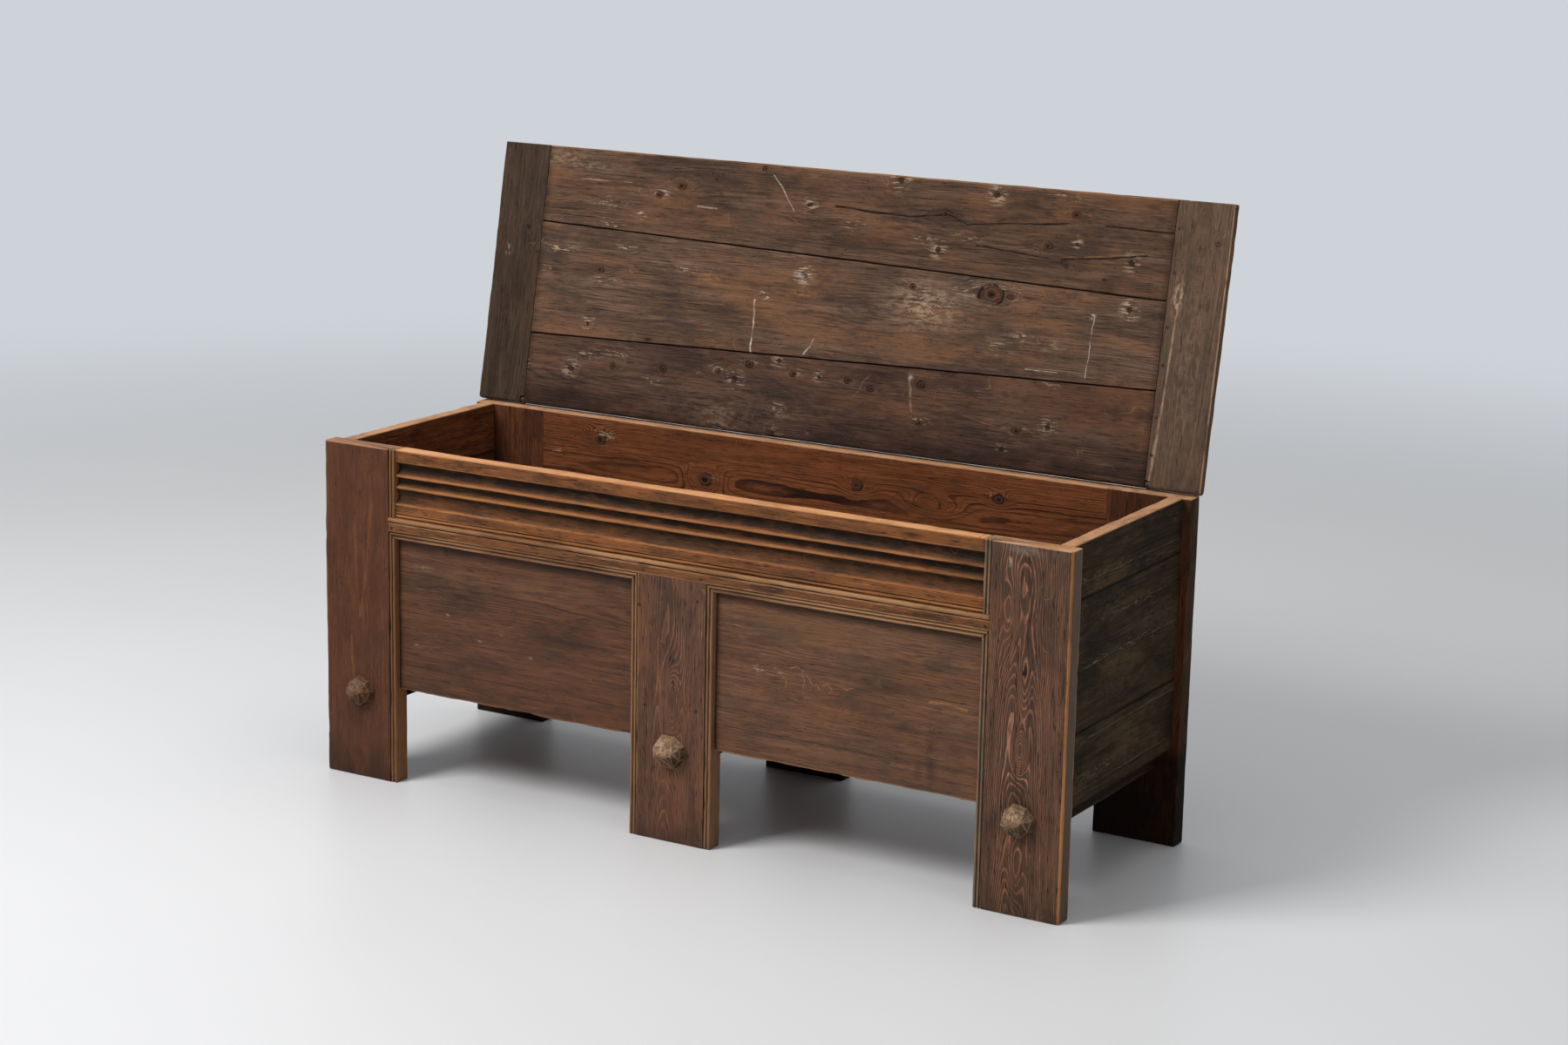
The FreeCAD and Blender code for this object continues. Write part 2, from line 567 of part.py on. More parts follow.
def middle_rail(label):
    """The proud rail: torus, flat and double bead, lapped over the legs' beads and mitred to them."""
    body = new_body(label)
    torus_foot = "torus_height + torus_step"
    corners = [
        (LEG_BACK, f"{RAIL_TOP} - seat_gap"),
        (f"{FRONT} + torus_step", f"{RAIL_TOP} - seat_gap", "torus_height * bead_roundness", -1),
        (f"{FRONT} + torus_step", f"{RAIL_TOP} - seat_gap - torus_height"),
        (f"{FRONT} + quirk_depth", f"{RAIL_TOP} - seat_gap - torus_height"),
        (f"{FRONT} + quirk_depth", f"{RAIL_TOP} - seat_gap - ({torus_foot})"),
        (FRONT, f"{RAIL_TOP} - seat_gap - ({torus_foot})"),
        (FRONT, f"{RAIL_FOOT} + {BEADING}")]
    bead = beading(-1, f"{RAIL_FOOT} + {BEADING}", FRONT, -1, 1)
    corners += [(corner[1], corner[0]) + corner[2:] for corner in bead]
    corners += [(LEG_BACK, RAIL_FOOT)]
    reach = f"{INNER_EDGE} + {BEADING}"
    pad(body, outline(body, "YZ_Plane", minus(reach), corners, "Profile"), f"2 * ({reach})")
    notch = [(f"{minus(MIDDLE_EDGE)} - seat_gap - cut_overrun", f"{RAIL_FOOT} - cut_overrun"),
             (f"{MIDDLE_EDGE} + seat_gap + cut_overrun", f"{RAIL_FOOT} - cut_overrun"),
             (f"{MIDDLE_EDGE} + seat_gap - {BEADING}", f"{RAIL_FOOT} + {BEADING}"),
             (f"{MIDDLE_EDGE} + seat_gap - {BEADING}", f"{RAIL_FOOT} + {BEADING} + seat_gap"),
             (f"{minus(MIDDLE_EDGE)} - seat_gap + {BEADING}", f"{RAIL_FOOT} + {BEADING} + seat_gap"),
             (f"{minus(MIDDLE_EDGE)} - seat_gap + {BEADING}", f"{RAIL_FOOT} + {BEADING}")]
    through = "leg_thickness + cut_overrun"
    pocket(body, outline(body, "XZ_Plane", LEG_BACK, notch, "Leg_Notch"), through, backwards=True)
    mortise(body, "Leg_Mortise", grown(("-middle_tenon_width / 2", "middle_tenon_width / 2")),
            grown((TENON_FRONT, TENON_BACK)),
            (f"{RAIL_FOOT} + {BEADING} - cut_overrun", f"{RAIL_FOOT} + {BEADING} + tenon_length + seat_gap"))
    for side, name in ((-1, "Left"), (1, "Right")):
        mortise(body, f"{name}_Lap_Back", span(side, f"{INNER_EDGE} - seat_gap", f"{reach} + cut_overrun"),
                (f"{FRONT} + rail_lap", f"{LEG_BACK} + cut_overrun"),
                (f"{RAIL_FOOT} - cut_overrun", f"{RAIL_TOP} + cut_overrun"))
        mitre = [(side_of(side, across), up) for across, up in (
            (f"{INNER_EDGE} - seat_gap - cut_overrun", f"{RAIL_FOOT} - cut_overrun"),
            (f"{reach} + cut_overrun", f"{RAIL_FOOT} - cut_overrun"),
            (f"{reach} + cut_overrun", f"{RAIL_FOOT} + {BEADING} + seat_gap + cut_overrun"))]
        pocket(body, outline(body, "XZ_Plane", LEG_BACK, mitre, f"{name}_Mitre"), through, backwards=True)
        block(body, f"{name}_Tenon", span(side, f"{INNER_EDGE} - seat_gap", f"{INNER_EDGE} + tenon_length"),
              (TENON_FRONT, TENON_BACK), (f"{RAIL_FOOT} + {BEADING}", f"{RAIL_TOP} - quirk_width"))
        groove = span(side, f"{MIDDLE_EDGE} - {BEADING}", INNER_EDGE)
        mortise(body, f"{name}_Panel_Groove", groove, grown((TONGUE_FRONT, TONGUE_BACK)),
                (f"{RAIL_FOOT} - cut_overrun", f"{RAIL_FOOT} + tongue_length + seat_gap"))
    for number, (across, up) in enumerate(TENON_PINS, start=1):
        bore(body, f"Pin_Hole_{number}", "XZ_Plane", f"{FRONT} + frame_pin_length + seat_gap", across, up,
             PIN_HOLE, "frame_pin_length + seat_gap + cut_overrun")
    for number, (across, up) in enumerate(RAIL_PINS, start=1):
        bore(body, f"Tenon_Hole_{number}", "XZ_Plane", LEG_BACK, across, up, PIN_HOLE, "leg_thickness")


def panel(side, label, at_back):
    """A panel with a tongue on its two ends and its top edge."""
    body = new_body(label)
    if at_back:
        faces, tongue = (REAR_LEG_FRONT, BACK_FACE), (BACK_TONGUE_FRONT, BACK_TONGUE_BACK)
        top = f"{BACK_RAIL_FOOT} - seat_gap"
    else:
        faces, tongue = (f"{FRONT} + panel_recess", LEG_BACK), (TONGUE_FRONT, TONGUE_BACK)
        top = f"{RAIL_FOOT} - seat_gap"
    near, far = f"{MIDDLE_EDGE} + seat_gap", f"{INNER_EDGE} - seat_gap"
    block(body, "Board", span(side, near, far), faces, ("panel_foot", top))
    heights = ("panel_foot", top)
    block(body, "Middle_Tongue", span(side, f"{MIDDLE_EDGE} - tongue_length", near), tongue, heights)
    block(body, "Corner_Tongue", span(side, far, f"{INNER_EDGE} + tongue_length"), tongue, heights)
    block(body, "Top_Tongue", span(side, near, far), tongue, (top, f"{top} + tongue_length"))


def side_plank(side, label, low, high):
    """One plank of an end, tongued into a front leg and a rear leg."""
    body = new_body(label)
    block(body, "Board", span(side, SIDE_INNER, SIDE_OUTER),
          (f"{LEG_BACK} + seat_gap", f"{REAR_LEG_FRONT} - seat_gap"), (low, high))
    tongue = span(side, SIDE_TONGUE_IN, SIDE_TONGUE_OUT)
    block(body, "Front_Tongue", tongue, (f"{LEG_BACK} - tongue_length", f"{LEG_BACK} + seat_gap"),
          (low, high))
    block(body, "Rear_Tongue", tongue, (f"{REAR_LEG_FRONT} - seat_gap", f"{REAR_LEG_FRONT} + tongue_length"),
          (low, high))


def back_rail(label):
    """The wide board at the rim between the rear legs, grooved below for the panels and the middle leg."""
    body = new_body(label)
    faces, tongue = (REAR_LEG_FRONT, BACK_FACE), (BACK_TONGUE_FRONT, BACK_TONGUE_BACK)
    far = f"{INNER_EDGE} - seat_gap"
    block(body, "Board", (minus(far), far), faces, (BACK_RAIL_FOOT, "rim_height"))
    for side, name in ((-1, "Left"), (1, "Right")):
        block(body, f"{name}_Tongue", span(side, far, f"{INNER_EDGE} + tongue_length"), tongue,
              (BACK_RAIL_FOOT, "rim_height"))
        groove = span(side, MIDDLE_EDGE, f"{INNER_EDGE} + tongue_length + cut_overrun")
        mortise(body, f"{name}_Panel_Groove", groove, grown(tongue),
                (f"{BACK_RAIL_FOOT} - cut_overrun", f"{BACK_RAIL_FOOT} + tongue_length"))
    mortise(body, "Leg_Mortise", grown(("-middle_tenon_width / 2", "middle_tenon_width / 2")), grown(tongue),
            (f"{BACK_RAIL_FOOT} - cut_overrun", f"{BACK_RAIL_FOOT} + tenon_length + seat_gap"))


def bearer(label, centre):
    """A floor bearer, bored in both ends for the pegs."""
    body = new_body(label)
    front, back = f"({LEG_BACK} + seat_gap)", f"({REAR_LEG_FRONT} - seat_gap)"
    half = "bearer_width / 2"
    block(body, "Beam", (f"{centre} - {half}", f"{centre} + {half}"), (front, back),
          ("peg_height - bearer_height / 2", BEARER_TOP))
    bore(body, "Front_Bore", "XZ_Plane", f"{LEG_BACK} + peg_reach + seat_gap", centre, "peg_height",
         PEG_HOLE, "peg_reach + cut_overrun")
    bore(body, "Rear_Bore", "XZ_Plane", f"{REAR_LEG_FRONT} + cut_overrun", centre, "peg_height", PEG_HOLE,
         "peg_reach + seat_gap + cut_overrun")


def headed_peg(label, centre, turn, tilt, size_share):
    """A front peg: a round shank, and a head hewn to facets that sits on the leg's face."""
    body = new_body(label)
    reach = f"{LEG_BACK} + peg_reach"
    shank = circle(body, "XZ_Plane", reach, centre, "peg_height", ["peg_diameter"], "Shank")
    pad(body, shank, "leg_thickness + peg_reach + seat_gap")
    rings = []
    lean = math.radians(tilt)
    for ring, (length, width, out, shift_across, shift_up) in enumerate(HEAD_RING_SHARES):
        corners = []
        for number, share in enumerate(HEAD_CORNER_SHARES):
            angle = math.radians(turn - tilt + TURN * number / len(HEAD_CORNER_SHARES))
            along = size_share * share * length * math.cos(angle)
            over = size_share * share * width * math.sin(angle)
            wide = along * math.cos(lean) - over * math.sin(lean) + shift_across
            tall = along * math.sin(lean) + over * math.cos(lean) + shift_up
            corners.append((f"{centre} + peg_head_width / 2 * ({wide:.4f})",
                            f"peg_height + peg_head_height / 2 * ({tall:.4f})"))
        level = f"{FRONT} - seat_gap - peg_head_out * {out}"
        rings.append(outline(body, "XZ_Plane", level, corners, f"Ring_{ring + 1}"))
    head = body.newObject("PartDesign::AdditiveLoft", f"{label}_Head")
    head.Profile = rings[0]
    head.Sections = rings[1:]
    head.Ruled = True


def plain_peg(label, centre):
    """A rear peg, cut off flush with the leg."""
    body = new_body(label)
    shank = circle(body, "XZ_Plane", BACK, centre, "peg_height", ["peg_diameter"], "Shank")
    pad(body, shank, "leg_thickness + peg_reach")


def floor_boards():
    """Boards laid along the chest on the bearers, from the front panels to the back."""
    front, back = f"({LEG_BACK} + floor_board_gap)", f"({REAR_LEG_FRONT} - floor_board_gap)"
    for number in range(FLOOR_BOARDS):
        body = new_body(f"floor_board_{number + 1}")
        low = f"({front} + ({back} - {front}) * {number} / {FLOOR_BOARDS})"
        high = f"({front} + ({back} - {front}) * {number + 1} / {FLOOR_BOARDS} - floor_board_gap)"
        far = f"({SIDE_INNER} - floor_board_gap)"
        block(body, "Board", (minus(far), far), (low, high),
              (f"{BEARER_TOP} + seat_gap", f"{BEARER_TOP} + seat_gap + floor_thickness"))


# The lid is drawn closed, about the hinge axis: Y runs back from the axis and Z up from it.
LID_FRONT = "(hinge_inset - lid_depth)"
LID_HALF = "(lid_thickness / 2)"


def joint_place(shares, side):
    """Where a joint between planks meets a batten, behind the lid's hinge edge."""
    return f"(hinge_inset - lid_depth * {shares[0 if side < 0 else 1]})"


def tongue_span(rear_shares, front_shares, side):
    """The stretch of a plank's tongue along the batten, between the plank's own joints."""
    front = f"({joint_place(front_shares, side)} + lid_joint_gap / 2 + lid_tongue_shoulder)"
    rear = f"({joint_place(rear_shares, side)} - lid_joint_gap / 2 - lid_tongue_shoulder)"
    return front, rear


# The rear plank's tongues stop in front of the hinge eye, and the front plank's at the lid's front edge.
HINGE_EDGE_SHARES = (0.0, 0.0)
FRONT_EDGE_SHARES = (1.0, 1.0)
LID_PLANKS = {
    "lid_rear_plank": (HINGE_EDGE_SHARES, REAR_JOINT_SHARES),
    "lid_middle_plank": (REAR_JOINT_SHARES, FRONT_JOINT_SHARES),
    "lid_front_plank": (FRONT_JOINT_SHARES, FRONT_EDGE_SHARES),
}


def plank_tongue(label, side):
    """Front and rear formula of one plank's tongue, kept clear of the hinge eye."""
    rear_shares, front_shares = LID_PLANKS[label]
    front, rear = tongue_span(rear_shares, front_shares, side)
    if label == "lid_rear_plank":
        rear = f"(-({REBATE_DEPTH}) - lid_tongue_shoulder)"
    return front, rear


def lid_pin_places():
    """Two pins through each tongue: its plank, its side and its place across and along."""
    places = []
    for side in (-1, 1):
        for label in LID_PLANKS:
            front, rear = plank_tongue(label, side)
            for share in TONGUE_PIN_SHARES:
                across = side_of(side, f"{BATTEN_INNER} + lid_pin_inset")
                places.append((label, side, across, f"({front} + ({rear} - {front}) * {share})"))
    return places


def rear_arris(then):
    """The lid's round under arris at the hinge, which ends where the stop's flat starts, and then the rest."""
    arc = [("0", f"-{LID_HALF}", "hinge_inset", -1), ("hinge_inset", f"hinge_inset - {LID_HALF}")]
    return arc + then


def joint_strip(shares, far, near, deep):
    """Corners of a strip along a joint between planks, from a place behind its line to one in front."""
    return ([(side_of(side, far), f"{joint_place(shares, side)} + {near}") for side in (1, -1)]
            + [(side_of(side, far), f"{joint_place(shares, side)} - {deep}") for side in (-1, 1)])


def lid_plank(label):
    """A tapered plank, tongued into both battens and into the plank in front of it. The rear one has a
    waney, rounded hinge edge."""
    body = new_body(label, on_lid=True)
    rear_shares, front_shares = LID_PLANKS[label]
    far = f"({BATTEN_INNER} - lid_end_gap)"
    first_gap = "0" if front_shares is FRONT_EDGE_SHARES else "lid_joint_gap / 2"
    corners = [(side_of(side, far), f"{joint_place(front_shares, side)} + {first_gap}") for side in (-1, 1)]
    if rear_shares is HINGE_EDGE_SHARES:
        edge = reversed(list(zip(WANEY_PLACE_SHARES, WANEY_DEPTH_SHARES)))
        corners += [(f"{far} * ({place})", f"hinge_inset - waney_depth * {depth}") for place, depth in edge]
    else:
        corners += [(side_of(side, far), f"{joint_place(rear_shares, side)} - lid_joint_gap / 2")
                    for side in (1, -1)]
    pad(body, outline(body, "XY_Plane", f"-{LID_HALF}", corners), "lid_thickness")
    if rear_shares is HINGE_EDGE_SHARES:
        waste = rear_arris([("hinge_inset + cut_overrun", f"hinge_inset - {LID_HALF}"),
                            ("hinge_inset + cut_overrun", f"-{LID_HALF} - cut_overrun"),
                            ("0", f"-{LID_HALF} - cut_overrun")])
        sketch = outline(body, "YZ_Plane", f"{minus(far)} - cut_overrun", waste, "Rear_Arris")
        pocket(body, sketch, f"2 * {far} + 2 * cut_overrun", backwards=True)
    else:
        strip = joint_strip(rear_shares, f"({far} + cut_overrun)", "lid_joint_gap",
                            "(lid_joint_gap / 2 + edge_tongue_length + seat_gap)")
        sketch = outline(body, "XY_Plane", "edge_tongue_thickness / 2 + seat_gap", strip, "Edge_Groove")
        pocket(body, sketch, "edge_tongue_thickness + 2 * seat_gap")
    if front_shares is not FRONT_EDGE_SHARES:
        strip = joint_strip(front_shares, far, "lid_joint_gap", "(lid_joint_gap / 2 + edge_tongue_length)")
        sketch = outline(body, "XY_Plane", "-edge_tongue_thickness / 2", strip, "Edge_Tongue")
        pad(body, sketch, "edge_tongue_thickness")
    for side, name in ((-1, "Left"), (1, "Right")):
        front, rear = plank_tongue(label, side)
        block(body, f"{name}_Tongue", span(side, far, f"{BATTEN_INNER} + lid_tongue_length"), (front, rear),
              ("-lid_tongue_thickness / 2", "lid_tongue_thickness / 2"))
    for number, (owner, _, across, along) in enumerate(lid_pin_places(), start=1):
        if owner == label:
            bore(body, f"Pin_Hole_{number}", "XY_Plane", f"-{LID_HALF}", across, along,
                 "lid_pin_diameter + 2 * seat_gap", "lid_thickness")


def lid_batten(side, label):
    """An end batten: rounded under its rear arris to clear the leg, square above it for the stop."""
    body = new_body(label, on_lid=True)
    corners = [(LID_FRONT, f"-{LID_HALF}")] + rear_arris([("hinge_inset", LID_HALF), (LID_FRONT, LID_HALF)])
    low = span(side, BATTEN_INNER, LID_END)[0]
    pad(body, outline(body, "YZ_Plane", low, corners, "Profile"), "batten_width")
    clear = "lid_tongue_thickness / 2 + seat_gap"
    mortise(body, "Plank_Groove", span(side, BATTEN_INNER, f"{BATTEN_INNER} + lid_tongue_length + seat_gap"),
            (f"{LID_FRONT} + lid_tongue_shoulder", f"-({REBATE_DEPTH})"), (f"-({clear})", clear))
    rebate = span(side, BATTEN_INNER, f"{BATTEN_INNER} + eye_width + 2 * eye_side_gap")
    mortise(body, "Eye_Rebate", rebate, (f"-({REBATE_DEPTH})", "hinge_inset + cut_overrun"),
            (f"-{LID_HALF} - cut_overrun", f"{LID_HALF} + cut_overrun"))
    low = span(side, BATTEN_INNER, f"{LID_END} + cut_overrun")[0]
    bore(body, "Hinge_Bore", "YZ_Plane", low, "0", "0", "hinge_pin_diameter + 2 * hinge_running_gap",
         "batten_width + cut_overrun")
    for number, (_, owner, across, along) in enumerate(lid_pin_places(), start=1):
        if owner == side:
            bore(body, f"Pin_Hole_{number}", "XY_Plane", f"-{LID_HALF}", across, along,
                 "lid_pin_diameter + 2 * seat_gap", "lid_thickness")
    corner = [(side_of(side, across), along) for across, along in (
        (f"{LID_END} - batten_corner", "hinge_inset"),
        (f"{LID_END} + cut_overrun", "hinge_inset + cut_overrun"),
        (LID_END, "hinge_inset - batten_corner"))]
    pocket(body, outline(body, "XY_Plane", LID_HALF, corner, "Rear_Corner"), "lid_thickness")


def hinge_eye(side, label):
    """An iron eye round the hinge pin, on a square spike driven into the leg's top."""
    body = new_body(label)
    near = f"{BATTEN_INNER} + eye_side_gap"
    low = span(side, near, f"{near} + eye_width")[0]
    ring = circle(body, "YZ_Plane", low, HINGE_Y, HINGE_Z,
                  [f"2 * {EYE_RADIUS}", "hinge_pin_diameter + 2 * hinge_running_gap"], "Ring")
    pad(body, ring, "eye_width")
    spike = f"{near} + (eye_width - spike_width) / 2"
    block(body, "Spike", span(side, spike, f"{spike} + spike_width"),
          (f"{HINGE_Y} - spike_width / 2", f"{HINGE_Y} + spike_width / 2"),
          ("rim_height - spike_length", f"{HINGE_Z} - {EYE_RADIUS} + eye_wall / 2"))


def hinge_pin(side, label):
    """The iron pin in a batten, through the eye and flush with the batten's end."""
    body = new_body(label, on_lid=True)
    low = span(side, f"{BATTEN_INNER} + eye_side_gap", LID_END)[0]
    pin = circle(body, "YZ_Plane", low, "0", "0", ["hinge_pin_diameter"], "Pin")
    pad(body, pin, "batten_width - eye_side_gap")


def pin_group(label, makers):
    """Several loose pins as one piece."""
    group = doc.addObject("Part::Compound", label)
    group.Label = label
    group.Links = makers
    pieces[label] = group


def loose_pin(name, diameter, length, places, along_y):
    """One pin: along Y from the front face, or through the lid's thickness."""
    pin = doc.addObject("Part::Cylinder", name)
    pin.setExpression("Radius", formula(f"{diameter} / 2"))
    pin.setExpression("Height", formula(length))
    turn = FreeCAD.Rotation(FreeCAD.Vector(-1, 0, 0), TURN / 4 if along_y else 0)
    pin.Placement = FreeCAD.Placement(FreeCAD.Vector(), turn)
    for letter, text in zip("xyz", places):
        pin.setExpression(f"Placement.Base.{letter}", formula(text))
    return pin


for side, word in ((-1, "left"), (1, "right")):
    corner_leg_front(side, f"front_{word}_leg")
    corner_leg_back(side, f"rear_{word}_leg")
    panel(side, f"front_{word}_panel", at_back=False)
    panel(side, f"back_{word}_panel", at_back=True)
    lower_top = "(panel_foot + side_lower_height)"
    middle_top = "(rim_height - side_upper_height)"
    side_plank(side, f"{word}_side_lower_plank", "panel_foot", f"{lower_top} - plank_gap")
    side_plank(side, f"{word}_side_middle_plank", lower_top, f"{middle_top} - plank_gap")
    side_plank(side, f"{word}_side_upper_plank", middle_top, "rim_height")
    lid_batten(side, f"lid_{word}_batten")
    hinge_eye(side, f"{word}_hinge_eye")
    hinge_pin(side, f"{word}_hinge_pin")
middle_leg_front("front_middle_leg")
middle_leg_back("rear_middle_leg")
frieze_rail("frieze_rail")
middle_rail("middle_rail")
back_rail("back_rail")
for word, centre in (("left", minus(LEG_CENTRE)), ("middle", "0"), ("right", LEG_CENTRE)):
    bearer(f"{word}_bearer", centre)
    headed_peg(f"{word}_front_peg", centre, HEAD_TURNS[word], HEAD_RIDGE_TILTS[word], HEAD_SIZE_SHARES[word])
    plain_peg(f"{word}_rear_peg", centre)
floor_boards()
for label in LID_PLANKS:
    lid_plank(label)
pin_group("frame_pins", [
    loose_pin(f"frame_pin_{number}", "frame_pin_diameter", "frame_pin_length",
                (across, f"{FRONT} + {FORWARD}", up), along_y=True)
    for number, (across, up) in enumerate(LEG_PINS + RAIL_PINS + TENON_PINS, start=1)])
pin_group("lid_pins", [
    loose_pin(f"lid_pin_{number}", "lid_pin_diameter", "lid_thickness",
                (across, along, "-lid_thickness / 2"), along_y=False)
    for number, (_, _, across, along) in enumerate(lid_pin_places(), start=1)])
swing_open(pieces["lid_pins"])
doc.recompute()

for item in doc.Objects:
    if "Invalid" in item.State or "Error" in item.State:
        raise RuntimeError(f"{item.Label} failed: {item.State}")
for label, piece in pieces.items():
    if piece.Shape.isNull() or not piece.Shape.isValid():
        raise RuntimeError(f"{label} has no sound shape")

os.makedirs("parts", exist_ok=True)
for label, piece in pieces.items():
    piece.Shape.exportStep(f"parts/{label}.step")
print(f"{len(pieces)} pieces, lid open at {worth(OPEN_ANGLE):.3f} degrees")
axis_y = worth(f"{HINGE_Y} + {FORWARD}")
print(f"moved forward by {worth(FORWARD):.3f}, hinge axis at y {axis_y:.3f} z {worth(HINGE_Z):.3f}")
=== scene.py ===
"""Looks of a long storage chest: worn pine boards, hewn pegs, forged hinge eyes and a plain studio.

Metres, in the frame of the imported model: X along the chest, Y from front to back and Z up.
"""

import json
import logging
import math
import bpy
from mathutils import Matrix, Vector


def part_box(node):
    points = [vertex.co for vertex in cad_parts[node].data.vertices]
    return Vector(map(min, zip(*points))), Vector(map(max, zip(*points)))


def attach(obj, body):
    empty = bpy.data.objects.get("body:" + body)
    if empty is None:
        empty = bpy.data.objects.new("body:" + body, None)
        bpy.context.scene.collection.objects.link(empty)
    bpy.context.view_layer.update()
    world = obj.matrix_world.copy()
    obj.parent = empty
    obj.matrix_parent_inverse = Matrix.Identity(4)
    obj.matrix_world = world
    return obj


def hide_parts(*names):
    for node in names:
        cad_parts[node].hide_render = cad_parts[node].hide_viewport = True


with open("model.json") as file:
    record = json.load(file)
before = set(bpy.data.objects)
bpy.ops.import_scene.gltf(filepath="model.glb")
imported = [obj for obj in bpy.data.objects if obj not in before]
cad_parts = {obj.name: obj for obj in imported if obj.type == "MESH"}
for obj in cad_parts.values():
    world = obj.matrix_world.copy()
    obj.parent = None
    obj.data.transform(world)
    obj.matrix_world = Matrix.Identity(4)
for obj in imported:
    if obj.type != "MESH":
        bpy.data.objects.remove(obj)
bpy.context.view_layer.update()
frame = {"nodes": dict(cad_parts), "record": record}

import zlib
from dataclasses import dataclass, field, replace
from enum import Enum
from typing import Callable, Sequence

import bmesh
import bpy
import numpy as np
from bpy.types import Material, Mesh, Node, NodeSocket, NodeTree, Object
from mathutils import Matrix, Vector
from numpy import ndarray as Array

MM = 0.001
WELD, SLIVER, SHARP = 2e-6, 1e-6, math.radians(38)
CLEAR = 0.3 * MM
RIGHTWARDS, UPWARDS, FORWARDS = Vector((1, 0, 0)), Vector((0, 0, 1)), Vector((0, -1, 0))
TENON = 25 * MM
CHEST_FORWARD = 38.639 * MM
LOG = logging.getLogger("chest")
Colour = tuple[float, float, float]
Places = tuple[Array, Array, Array]
Shaper = Callable[[Array, Array, Array], Places]


class Body(Enum):
    """The two bodies that pieces ride on."""

    CHEST = "chest"
    LID = "lid"


class Ripple:
    """Smooth noise over one or two lengths, the same on every run."""

    def __init__(self, name: str, wave: float, count: int = 9) -> None:
        """Pick the waves.

        Args:
            name: What the noise is for, which seeds it.
            wave: The typical wavelength, in metres.
            count: How many waves are added up.
        """
        dice = np.random.default_rng(zlib.crc32(name.encode()))
        angle = dice.uniform(0, math.tau, count)
        pitch = math.tau / wave * dice.uniform(0.45, 1.9, count)
        self.first = pitch * np.cos(angle)
        self.second = pitch * np.sin(angle)
        self.phase = dice.uniform(0, math.tau, count)

    def __call__(self, first: Array, second: Array | float = 0.0) -> Array:
        """Return the noise, mostly between -1 and 1, at each place."""
        total = np.zeros(np.broadcast(first, second).shape)
        for one, two, phase in zip(self.first, self.second, self.phase):
            total += np.sin(first * one + second * two + phase)
        return total / math.sqrt(len(self.phase))


@dataclass
class Section:
    """A board's cross-section, with how worn each of its places is and how much painted shade it gets."""

    places: Array
    normals: Array
    run: Array
    wear: Array
    grime: Array


